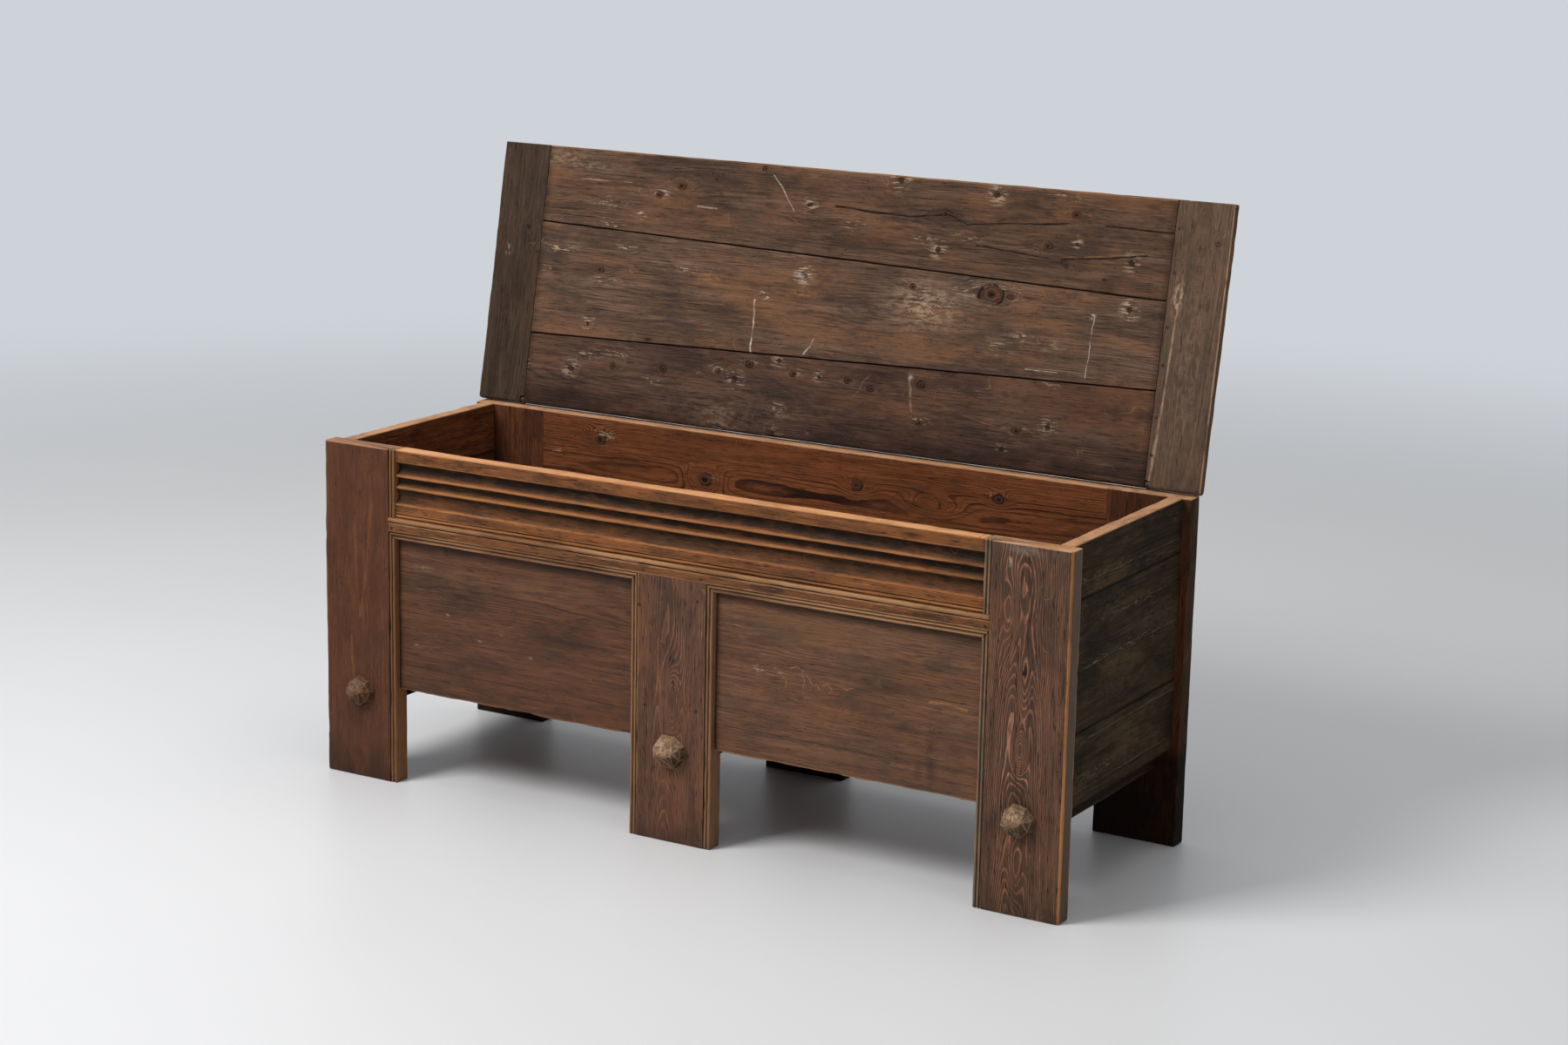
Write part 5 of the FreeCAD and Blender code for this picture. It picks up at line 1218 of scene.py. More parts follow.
@dataclass
class Frieze:
    """The moulded rail under the rim, swept by Geometry Nodes."""

    band: float = 25 * MM
    recess: float = 5 * MM
    bevel: float = 2 * MM
    cove: float = 18 * MM
    deep: float = 17 * MM
    slope: float = 7 * MM
    nose: float = 4.5 * MM
    ridge: float = 6.5 * MM
    hollow: float = 12.5 * MM
    wide: float = 27 * MM
    wide_deep: float = 14 * MM
    last_slope: float = 5 * MM
    bead: float = 8.5 * MM
    bead_recess: float = 7.5 * MM
    shade_from: float = 6.9 * MM
    shade_reach: float = 3.4 * MM
    cove_round: float = 11.4 * MM
    hollow_round: float = 10.5 * MM
    wide_round: float = 20 * MM
    stations: int = 110
    rub: float = 1.5 * MM
    wave: float = 1.2 * MM
    seed: int = 7

    def lay(self) -> Lay:
        """How the rail lies between the corner legs, with its depths measured from the legs' face."""
        low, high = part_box("frieze_rail")
        inner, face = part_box("front_right_leg")[0].x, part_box("front_left_leg")[0].y
        return Lay(Vector((-inner, face, low.z)), RIGHTWARDS, UPWARDS, FORWARDS, 2 * inner, high.z - low.z,
            high.y - face)

    def outline(self, lay: Lay) -> Outline:
        """The profile: band, deep cove, two ridges, wide cove, band and bead."""
        drop = [0.0]

        def down(step: float) -> float:
            """Go down by a step and return the place across."""
            drop[0] += step
            return lay.width - drop[0]

        outline = Outline(lay.width, -lay.thickness).line(lay.width, -self.recess)
        outline.line(down(self.band), -self.recess).line(down(self.bevel), -self.recess - self.bevel)
        outline.arc(down(self.cove), -self.deep, self.cove_round, 1, 8).line(down(self.slope), -self.ridge)
        outline.line(down(self.nose), -self.ridge).arc(down(self.hollow), -self.deep, self.hollow_round, 1, 6)
        outline.line(down(self.slope), -self.ridge).line(down(self.nose), -self.ridge)
        outline.arc(down(self.wide), -self.wide_deep, self.wide_round, 1, 9).line(down(self.last_slope),
            -self.recess)
        outline.line(self.bead, -self.recess).line(self.bead, -self.bead_recess)
        outline.arc(0, -self.bead_recess, self.bead * 0.53, -1, 7)
        return outline.line(0, -lay.thickness)

    def tree(self) -> NodeTree:
        """The tree that sweeps the profile along the rail and wears its arrises."""
        graph = new_tree("sweep_of_frieze", {"Length": "Float", "Stations": "Int", "Rub": "Float", "Wave": "Float",
            "Seed": "Int", "Finish": "Material"})
        given = graph.node("NodeGroupInput").outputs
        count = graph.math("SUBTRACT", given["Stations"], 1.0)
        step = graph.math("DIVIDE", given["Length"], count)
        offset = graph.node("ShaderNodeCombineXYZ", {0: step}).outputs[0]
        line = graph.node("GeometryNodeMeshLine", {"Count": given["Stations"], "Offset": offset}).outputs[0]
        path = graph.node("GeometryNodeMeshToCurve", {"Mesh": line}).outputs[0]
        path = graph.node("GeometryNodeSetCurveNormal", {"Curve": path}, mode="Z_UP").outputs[0]
        profile = graph.node("GeometryNodeMeshToCurve", {"Mesh": given["Geometry"]}).outputs[0]
        swept = graph.node("GeometryNodeCurveToMesh", {"Curve": path, "Profile Curve": profile,
            "Fill Caps": True}).outputs[0]
        place = graph.node("GeometryNodeInputPosition").outputs[0]
        shifted = graph.vector("ADD", place, graph.node("ShaderNodeCombineXYZ", {0: given["Seed"]}).outputs[0])
        rough = graph.noise(graph.vector("MULTIPLY", shifted, (9.0, 40.0, 40.0)), 1.0, 3.0, 0.65)
        nick = graph.noise(graph.vector("MULTIPLY", shifted, (45.0, 90.0, 90.0)), 1.0, 2.0, 0.6)
        plane = graph.noise(graph.vector("MULTIPLY", shifted, (8.0, 14.0, 14.0)), 1.0, 1.0, 0.5)
        lost = graph.math("ADD", graph.span(rough, 0.3, 0.75), graph.span(nick, 0.62, 0.8, 0.0, 0.9))
        wear = graph.node("GeometryNodeInputNamedAttribute", {"Name": "wear"}, data_type="FLOAT").outputs[0]
        lost = graph.product(lost, wear, given["Rub"])
        swell = graph.product(graph.math("SUBTRACT", plane, 0.5), given["Wave"])
        away = graph.node("GeometryNodeInputNamedAttribute", {"Name": "away"}, data_type="FLOAT_VECTOR").outputs[0]
        moved = graph.node("ShaderNodeVectorMath", {0: away, "Scale": graph.math("SUBTRACT", swell, lost)},
            operation="SCALE")
        placed = graph.node("GeometryNodeSetPosition", {"Geometry": swept, "Offset": moved.outputs[0]}).outputs[0]
        return end_tree(graph, placed, given["Finish"])

    def build(self) -> Object:
        """Sweep the rail and dress it.

        Returns:
            The rail's object.
        """
        lay = self.lay()
        section = self.outline(lay).section(0.9 * MM, 8 * MM)
        mesh = bpy.data.meshes.new("frieze_profile")
        count = len(section.run)
        places = [(out, -across, 0.0) for across, out in section.places]
        mesh.from_pydata(places, [(n, (n + 1) % count) for n in range(count)], [])
        # Painted shade in the coves: darker the deeper a place is sunk and where a face looks downwards, and none
        # on the bands.
        sunk = np.clip((-section.places[:, 1] - self.shade_from) / self.shade_reach, 0, 1)
        fine = self.band + self.bevel + self.cove + 2 * (self.slope + self.nose) + self.hollow
        sunk *= np.where(section.places[:, 0] > lay.width - fine, 0.95, 0.6)
        downward_shade = np.clip(-section.normals[:, 0], 0, 1) * (section.places[:, 1] < -self.recess - 0.5 * MM)
        moulded = (section.places[:, 0] > self.bead) & (section.places[:, 0] < lay.width - self.band)
        sunk = np.where(moulded, sunk + 0.75 * downward_shade, 0).clip(0, 0.97)
        add_values(mesh, wear=section.wear, grime=np.maximum(section.grime, sunk))
        away = np.outer(section.normals[:, 0], lay.across) + np.outer(section.normals[:, 1], lay.out)
        mesh.attributes.new("away", "FLOAT_VECTOR", "POINT").data.foreach_set("vector", away.ravel())
        bands = (rim(Way.ACROSS, lay.width), Band(Way.ALONG, 2, 8, DARK, 0.4),
            Band(Way.ALONG, lay.length / MM - 2, -8, DARK, 0.4))
        patches = tuple(stained(x, 694, 26, 5, DARK, 0.8) for x in (-590, -470, -300, -215, 60, 190, 330, 520))
        finish = Timber("frieze_rail", lay, FRIEZE_PINE, Grain(pith=(0.2, -0.12), ring=0.003, flame=0.004),
            patches=patches, bands=bands, back=INNER_PINE, tint=(1.29, 1.2, 1.04)).material()
        plain = grown_by_nodes(linked("frieze_profile", mesh), self.tree(),
            {"Length": lay.length, "Stations": self.stations, "Rub": self.rub, "Wave": self.wave, "Seed": self.seed,
            "Finish": finish})
        return stand_in(placed_piece("frieze_rail_wood", plain, lay.corner), "frieze_rail", Body.CHEST)


def grown_by_nodes(base: Object, tree: NodeTree, values: dict) -> Mesh:
    """Run a Geometry Nodes tree on an object and take the result as a plain mesh.

    Args:
        base: The object that the tree starts from; it is removed.
        tree: The tree.
        values: The tree's inputs by name.

    Returns:
        The plain mesh.
    """
    modifier = base.modifiers.new("grow", "NODES")
    modifier.node_group = tree
    for item in tree.interface.items_tree:
        if item.item_type == "SOCKET" and item.in_out == "INPUT" and item.name in values:
            modifier[item.identifier] = values[item.name]
    graph = bpy.context.evaluated_depsgraph_get()
    mesh = bpy.data.meshes.new_from_object(base.evaluated_get(graph), depsgraph=graph)
    base.modifiers.remove(modifier)
    bpy.data.objects.remove(base)
    return mesh


def placed_piece(name: str, mesh: Mesh, shift: Sequence[float] = (0, 0, 0)) -> Object:
    """Make a smooth, closed, outward-facing piece of a mesh, with its place in the mesh.

    Args:
        name: The piece's name.
        mesh: Its mesh.
        shift: How far the mesh is moved.

    Returns:
        The piece, linked to the scene.
    """
    shape = bmesh.new()
    shape.from_mesh(mesh)
    bmesh.ops.translate(shape, verts=shape.verts, vec=Vector(shift))
    return linked(name, close(shape, mesh))


@dataclass
class Ends:
    """The two ends of the chest: three planks each, between the legs."""

    tongue: float = 9.5 * MM
    scribes: tuple[float, ...] = (626, 462, 320, 224)

    def boards(self) -> list[Board]:
        """The six planks."""
        made = []
        for side, word in ((-1, "left"), (1, "right")):
            for level in ("lower", "middle", "upper"):
                node = f"{word}_side_{level}_plank"
                lay = Lay.of_node(node, "Y", "+X" if side > 0 else "-X", (self.tongue, self.tongue, 0, 0))
                grain = Grain(pith=(lay.width * 0.7, -0.05), slope=(0.02, 0.02), ring=0.0042, flame=0.007)
                scribes = [cracked((-260, z), (0, z + 1), (260, z), width=1.2, deep=0.3) for z in self.scribes]
                edge = Band(Way.ACROSS, 1, 5, BLACK, 0.7, 0.3)
                if level == "upper":
                    over, wear = rim(Way.ACROSS, lay.width), (0.2, 1.0)
                else:
                    over, wear = Band(Way.ACROSS, lay.width / MM - 1, -5, BLACK, 0.7, 0.3), (0.2, 0.2)
                scribes += [scratched((-230, z + 3), (40, z + 5), (240, z + 4), width=3,
                    colour=(0.13, 0.095, 0.065), strength=0.5) for z in self.scribes]
                fibres = [torn(y, z, 120, 7, KHAKI, 0.9) for y, z in ((-110, 470), (60, 466), (-150, 632),
                    (30, 545), (-90, 250))]
                smears = [dusty(y, z, 90, 26, OLIVE, 0.6) for y, z in ((-60, 560), (-20, 400), (-160, 250),
                    (120, 500))]
                timber = Timber(node, lay, SIDE_PINE, grain, (), scribes, fibres + smears, (edge, over), INNER_PINE)
                made.append(Board(node, Body.CHEST, lay, timber, lay.plain().section(1.6 * MM), ends=(CLEAR, CLEAR),
                    edge_wear=wear, end_wear=(0, 0)))
        return made


@dataclass
class Back:
    """The back: three legs, the wide rail at the rim, with a lip under the lid's edge, and two panels."""

    tongue: float = 9.5 * MM
    lip: tuple[float, float] = (14 * MM, 14.5 * MM)
    rail_drop: float = 0.7 * MM

    def boards(self) -> list[Board]:
        """The six boards."""
        made = []
        for node in ("rear_left_leg", "rear_middle_leg", "rear_right_leg"):
            tenon = TENON if "middle" in node else 0.0
            lay = Lay.of_node(node, "Z", "+Y", (0, tenon, 0, 0))
            grain = Grain(pith=(0.1, -0.07), slope=(0.01, 0.02), ring=0.0036, flame=0.007)
            # Painted shadow: the legs go black below 170 mm and fade out by 220 mm, where the chest shades them.
            bands = (rim(Way.ALONG, lay.length), Band(Way.ALONG, 170, 50, BLACK, 0.92, 0.1))
            timber = Timber(node, lay, SIDE_PINE, grain, bands=bands, back=CORNER_PINE)
            made.append(Board(node, Body.CHEST, lay, timber, lay.plain().section(2.2 * MM),
                ends=(2.5 * MM, 1.6 * MM), edge_wear=(0.5, 0.5)))
        lay = Lay.of_node("back_rail", "X", "-Y", (self.tongue, self.tongue, 0, 0))
        grain = Grain(pith=(0.07, -0.05), slope=(0.012, 0.005), ring=0.0034, sway=0.006, flame=0.006,
            line=(0.4, 0.8))
        knots = (Knot(-525, 659, 13, 2.6), Knot(-259, 606, 15, 2.6), Knot(109, 640, 12), Knot(436, 654, 10),
            Knot(290, 622, 12, 2.2, 0, 2.6))
        patches = (torn(-515, 668, 26, 16), torn(-634, 626, 24, 9), torn(-250, 612, 24, 8), torn(430, 660, 20, 7))
        timber = Timber("back_rail", lay, INNER_PINE, grain, knots, (), patches, (rim(Way.ACROSS, lay.width),),
            SIDE_PINE)
        width, deep, (lip_high, lip_deep) = lay.width, -lay.thickness, self.lip
        rear, sunk = deep - lip_deep, width - self.rail_drop
        outline = Outline(0, deep).line(width - lip_high, deep).line(width - lip_high, rear)
        outline.line(sunk, rear).line(width, rear).line(sunk, rear + 7 * MM).line(sunk, deep)
        outline.line(width, -4 * MM).line(width, 0).line(0, 0)
        made.append(Board("back_rail", Body.CHEST, lay, timber, outline.section(1.6 * MM), rub=0.25 * MM, wave=0.0,
            ends=(CLEAR, CLEAR), end_wear=(0, 0)))
        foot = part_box("back_rail")[0].z
        for node in ("back_left_panel", "back_right_panel"):
            lay = Lay.of_node(node, "X", "+Y", (self.tongue, self.tongue, 0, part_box(node)[1].z - foot))
            grain = Grain(pith=(0.2, -0.05), slope=(0.01, 0.004), ring=0.0044, flame=0.007)
            timber = Timber(node, lay, SIDE_PINE, grain, back=INNER_PINE)
            made.append(Board(node, Body.CHEST, lay, timber, lay.plain().section(1.6 * MM), ends=(CLEAR, CLEAR)))
        return made


@dataclass
class Bottom:
    """The floor boards and the bearers under them."""

    def boards(self) -> list[Board]:
        """The four floor boards and three bearers."""
        made = []
        for number in range(1, 5):
            node = f"floor_board_{number}"
            lay = Lay.of_node(node, "X", "+Z")
            grain = Grain(pith=(0.05, -0.04), slope=(0.01, 0.01), ring=0.004, flame=0.007)
            made.append(Board(node, Body.CHEST, lay, Timber(node, lay, INNER_PINE, grain), lay.plain().section()))
        for word in ("left", "middle", "right"):
            node = f"{word}_bearer"
            lay = Lay.of_node(node, "Y", "-Z")
            grain = Grain(pith=(0.03, -0.03), ring=0.003)
            made.append(Board(node, Body.CHEST, lay, Timber(node, lay, SHADOWED_BEARER_PINE, grain),
                lay.plain().section(2.5 * MM)))
        return made


@dataclass
class Lid:
    """The lid as it stands open: three tapered planks between two end battens."""

    depth: float = 566 * MM
    thickness: float = 20 * MM
    inset: float = 8.28 * MM
    gap: float = 3 * MM
    plank_reach: float = 738.5 * MM
    batten_inner: float = 739.3 * MM
    end: float = 858 * MM
    rear_joint: tuple[float, float] = (0.277, 0.339)
    front_joint: tuple[float, float] = (0.709, 0.649)
    waney_places: tuple[float, ...] = (-1.0, -0.85, -0.6, -0.42, -0.12, 0.15, 0.45, 0.75, 1.0)
    waney_depths: tuple[float, ...] = (0.8, 3.6, 4.0, 1.4, 4.0, 1.6, 1.2, 4.8, 3.6)
    tongue: tuple[float, float] = (8 * MM, 6 * MM)
    groove: tuple[float, float] = (8.3 * MM, 6.6 * MM)
    tints: dict = field(default_factory=lambda: {"lid_front_plank": (0.95, 0.97, 1.0),
        "lid_middle_plank": (1.15, 1.2, 1.25), "lid_rear_plank": (0.86, 0.86, 0.95)})
    rebate: tuple[float, float] = (10 * MM, 16.83 * MM)
    corner: float = 5 * MM

    @property
    def axis(self) -> Vector:
        """A point on the hinge line."""
        return Vector(frame["record"]["behaviour"]["joints"][0]["pos_m"])

    @property
    def outwards(self) -> Vector:
        """The way from the hinge edge to the front edge, as the lid stands."""
        angle = 2 * math.atan2(self.thickness / 2, self.inset)
        return Vector((0, -math.cos(angle), math.sin(angle)))

    @property
    def under(self) -> Vector:
        """The way that the underside looks, as the lid stands."""
        away = self.outwards
        return Vector((0, -away.z, away.y))

    def corner_at(self, across: float) -> Vector:
        """The place on the underside's hinge edge at a place along X."""
        return self.axis - self.outwards * self.inset + self.under * self.thickness / 2 + Vector((across, 0, 0))

    def edges(self, node: str, along: Array) -> tuple[Array, Array]:
        """Where a plank's two edges are, measured from the lid's hinge edge, at places along it."""
        share = along / (2 * self.plank_reach)
        rear = self.depth * (self.rear_joint[0] * (1 - share) + self.rear_joint[1] * share)
        front = self.depth * (self.front_joint[0] * (1 - share) + self.front_joint[1] * share)
        if node == "lid_rear_plank":
            wane = np.interp(2 * share - 1, self.waney_places, np.array(self.waney_depths) * MM)
            ragged = np.clip(Ripple("hinge edge", 0.09)(along), 0, None) * 0.7 * MM
            return wane + ragged, rear - self.gap / 2
        if node == "lid_middle_plank":
            return rear + self.gap / 2, front - self.gap / 2
        return front + self.gap / 2, np.full_like(along, self.depth)

    def plank(self, node: str) -> Board:
        """A tapered plank."""
        low, high = self.edges(node, np.array([self.plank_reach]))
        width = float(high[0] - low[0])
        lay = Lay(self.corner_at(-self.plank_reach), RIGHTWARDS, self.outwards, self.under, 2 * self.plank_reach,
            width, self.thickness)

        hold = self.groove[0] + 0.1 * MM

        def taper(along: Array, across: Array, out: Array) -> Places:
            """Stretch the section between the plank's edges, and round the hinge arris."""
            near, far = self.edges(node, along)
            inner = np.clip(across, hold, width) - hold
            if node == "lid_rear_plank":
                near = near * np.clip(1 + out / self.thickness, 0, 1)
            placed = near + np.minimum(across, hold) + inner * (far - near - hold) / (width - hold)
            placed = placed + np.maximum(across - width, 0)
            drop = np.clip(self.inset - placed, 0, None)
            return along, placed, np.minimum(out, np.sqrt(np.maximum(self.inset ** 2 - drop ** 2, 0)) - self.inset)

        grain = Grain(pith=(float(low[0]) + width * 0.5, -0.09), slope=(0.006, 0.01), ring=0.003, flame=0.006)
        knots, streaks, patches = self._marks(node)
        timber = Timber(node, lay, LID_PINE, grain, knots, streaks, patches, self._bands(node, lay), RED_PINE,
            self.tints[node], (-self.plank_reach / MM, 0))
        wear = (0.3, 1.3) if "front" in node else (0.3, 0.2)
        wave, rounding = 0.3 * MM, 1.5 * MM
        if "rear" in node:
            wear, wave, rounding = (0.1, 0.2), 0.15 * MM, 0.8 * MM
        return Board(node, Body.LID, lay, timber, self._plank_outline(node, lay).section(rounding), taper,
            wave=wave, ends=(1.0 * MM, 1.0 * MM), edge_wear=wear)

    @staticmethod
    def _bands(node: str, lay: Lay) -> Sequence[Band]:
        """Darker along the hinge edge and beside the battens."""
        ends = (Band(Way.ALONG, 1, 16, DARK, 0.5), Band(Way.ALONG, lay.length / MM - 1, -16, DARK, 0.5))
        return ends + (Band(Way.ACROSS, 12, 70, DARK, 0.6),) if "rear" in node else ends

    def _plank_outline(self, node: str, lay: Lay) -> Outline:
        """A plank's outline, with a groove in its near edge and a tongue on its far one."""
        width, deep, middle = lay.width, -lay.thickness, -lay.thickness / 2
        outline = Outline(0, deep).line(width, deep)
        if "front" not in node:
            reach, half = width + self.gap + self.tongue[0], self.tongue[1] / 2
            outline.line(width, middle - half).line(reach, middle - half)
            outline.line(reach, middle + half).line(width, middle + half)
        outline.line(width, 0).line(0, 0)
        if "rear" not in node:
            inner, half = self.groove[0], self.groove[1] / 2
            outline.line(0, middle + half).line(inner, middle + half)
            outline.line(inner, middle - half).line(0, middle - half)
        return outline

    @staticmethod
    def _marks(node: str) -> tuple:
        """The knots, streaks and patches of a plank's underside, as places along X and from the hinge edge."""
        if node == "lid_front_plank":
            knots = each(Knot, (-397, 504, 10), (-308, 525, 7), (-448, 481, 8), (-196, 554, 6), (238, 496, 9),
                (473, 451, 9), (516, 420, 7), (528, 518, 8))
            streaks = (scratched((-650, 501), (-520, 501), width=3, colour=PALE),
                scratched((-350, 465), (-300, 465), width=4, colour=PALE),
                scratched((-174, 544), (-150, 520), (-117, 475), width=2.4, colour=WHITE, strength=0.6),
                cracked((-110, 470), (-80, 466)),
                cracked((-19, 492), (88, 485), (154, 484), (232, 494), width=5.0, deep=1.1),
                cracked((244, 495), (292, 478), (308, 481), (512, 499), width=4.4, deep=1.0),
                cracked((595, 499), (741, 500), width=5.4, deep=1.1), cracked((313, 440), (478, 428), width=4.0),
                scratched((507, 433), (590, 441), (688, 454), width=5, strength=0.5),
                cracked((507, 429), (600, 438), (688, 450), width=6.0, deep=1.2))
            patches = (dusty(-690, 540, 60, 18, KHAKI, 0.9), dusty(-600, 530, 70, 8, KHAKI, 0.5),
                *each(torn, (-571, 455, 30, 9), (-564, 409, 26, 8), (-489, 435, 9, 6, WHITE, 1.4),
                (-440, 484, 16, 7, WHITE), (-397, 508, 24, 9)), stained(-391, 558, 26, 9),
                stained(-232, 447, 34, 16, (0.03, 0.03, 0.034), 0.7), stained(-174, 481, 12, 8),
                torn(33, 456, 24, 8), stained(100, 425, 40, 18, (0.07, 0.022, 0.014), 0.6),
                *each(torn, (194, 441, 24, 8), (295, 453, 26, 8), (506, 548, 30, 10), (528, 518, 24, 9, ORANGE)),
                *each(stained, (556, 526, 36, 14), (602, 395, 5, 3, BLACK, 1.0), (424, 531, 14, 8),
                (366, 495, 14, 7)))
        elif node == "lid_middle_plank":
            knots = (Knot(-579, 310, 9), Knot(184, 342, 7, dark=1.0), Knot(360, 344, 21, dark=1.0),
                Knot(406, 346, 7))
            streaks = (scratched((-185, 280), (-179, 205), (-179, 170), width=5, colour=WHITE, strength=0.9),
                scratched((455, 204), (527, 203), width=2.4, colour=WHITE, strength=0.7),
                scratched((-52, 180), (-40, 196), (-34, 214), width=4, colour=WHITE, strength=0.7),
                scratched((585, 200), (589, 260), (592, 320), width=2, colour=WHITE, strength=0.6),
                cracked((-440, 260), (-260, 256), width=1.2, deep=0.3))
            patches = (*each(torn, (-684, 348, 30, 9), (-517, 362, 26, 8), (-559, 287, 26, 9), (-365, 330, 26, 8)),
                dusty(-301, 314, 26, 9, ORANGE, 0.7), dusty(-66, 306, 26, 8, ORANGE, 0.7),
                torn(-87, 341, 12, 6, WHITE, 1.4), torn(-163, 292, 12, 7, WHITE, 1.4),
                dusty(215, 309, 70, 36, PALE, 0.8), *each(torn, (222, 300, 60, 40, PALE, 0.9),
                (362, 348, 64, 30, KHAKI, 0.9), (310, 352, 26, 12), (404, 350, 22, 10)),
                dusty(587, 321, 5, 4, WHITE, 1.2), torn(395, 240, 30, 14, PALE, 0.7),
                torn(470, 255, 60, 14, PALE, 0.6), stained(-436, 172, 12, 5, BLACK, 1.0),
                stained(-240, 240, 60, 18, DARK, 0.4), stained(330, 290, 60, 14, DARK, 0.35))
        else:
            knots = each(Knot, (-519, 106, 8), (-388, 113, 7), (60, 138, 8), (112, 126, 7), (227, 147, 8),
                (-255, 124, 8), (-180, 146, 8), (-73, 138, 7), (451, 79, 8), (233, 71, 7))
            streaks = (scratched((265, 114), (340, 96), (406, 82), width=1.8, strength=0.9),
                scratched((199, 158), (206, 120), (210, 92), width=6, colour=PALE, strength=0.7))
            patches = (torn(-580, 124, 30, 9), torn(-514, 135, 36, 10), stained(12, 91, 30, 12),
                *each(torn, (-255, 128, 22, 8), (-180, 150, 20, 7), (-73, 142, 22, 8), (-411, 84, 24, 8),
                (337, 142, 26, 8), (451, 83, 24, 8), (233, 75, 24, 8)), dusty(-243, 40, 34, 14, PALE, 0.6),
                dusty(-239, 12, 34, 10, PALE, 0.6), dusty(-96, 53, 26, 10, PALE, 0.6),
                Patch(-82, 9, (6, 5), WHITE, 1.0, 0.2), dusty(-225, 45, 150, 45, DUST, 0.6),
                Patch(199, 160, (6, 5), WHITE, 1.2, 0.2), dusty(441, 150, 52, 36, DUST, 0.8),
                stained(-600, 30, 160, 24, DARK, 0.5), stained(500, 24, 260, 20, DARK, 0.45))
        return knots, streaks, patches

    def batten(self, side: int) -> Board:
        """An end batten, rounded under its hinge arris and rebated for the eye."""
        node = "lid_left_batten" if side < 0 else "lid_right_batten"
        width = self.end - self.batten_inner
        start = -self.end if side < 0 else self.batten_inner
        lay = Lay(self.corner_at(start), self.outwards, RIGHTWARDS, self.under, self.depth, width, self.thickness)
        wide, reach = self.rebate

        def fit(along: Array, across: Array, out: Array) -> Places:
            """Round the hinge arris, step back for the eye and nip the outer corner."""
            inner = across if side > 0 else width - across
            inner = np.where(along < reach, np.maximum(inner, wide), inner)
            inner = np.minimum(inner, width - np.clip(self.corner - along, 0, None))
            drop = np.clip(self.inset - along, 0, None)
            limit = np.sqrt(np.maximum(self.inset ** 2 - drop ** 2, 0)) - self.inset
            return along, inner if side > 0 else width - inner, np.minimum(out, limit)

        stations = [s * MM for s in (0.1, 0.6, 1.4, 2.6, 4.2, 5.0, 6.2, 8.28)] + [reach - 0.05 * MM,
            reach + 0.05 * MM]
        grain = Grain(pith=(0.07, -0.05), slope=(0.006, 0.02), ring=0.0042, flame=0.007)
        if side < 0:
            knots, streaks = (Knot(383, -775, 6),), ()
            patches = (dusty(333, -822, 9, 7, WHITE, 1.0), stained(200, -800, 120, 30, DARK, 0.4))
        else:
            knots = (Knot(523, 800, 9, 2.4, 0, 2.6), Knot(490, 831, 6), Knot(440, 798, 10, 2.2, 0, 3.4))
            streaks = (scratched((371, 764), (190, 757), (3, 749), width=6, colour=PALE, strength=0.5),)
            patches = (dusty(377, 762, 26, 10, PALE, 0.9), dusty(260, 800, 200, 30, DUST, 0.4))
        tint = (0.7, 0.7, 0.72) if side < 0 else (1.6, 1.55, 1.6)
        timber = Timber(node, lay, BATTEN_PINE, grain, knots, streaks, patches, (), RED_PINE, tint, (0, start / MM))
        return Board(node, Body.LID, lay, timber, lay.plain().section(1.6 * MM), fit, stations,
            ends=(0.02 * MM, 1.6 * MM), edge_wear=(0.9, 0.3) if side < 0 else (0.3, 1.0))

    def boards(self) -> list[Board]:
        """The three planks and two battens."""
        planks = [self.plank(f"lid_{word}_plank") for word in ("rear", "middle", "front")]
        return planks + [self.batten(-1), self.batten(1)]


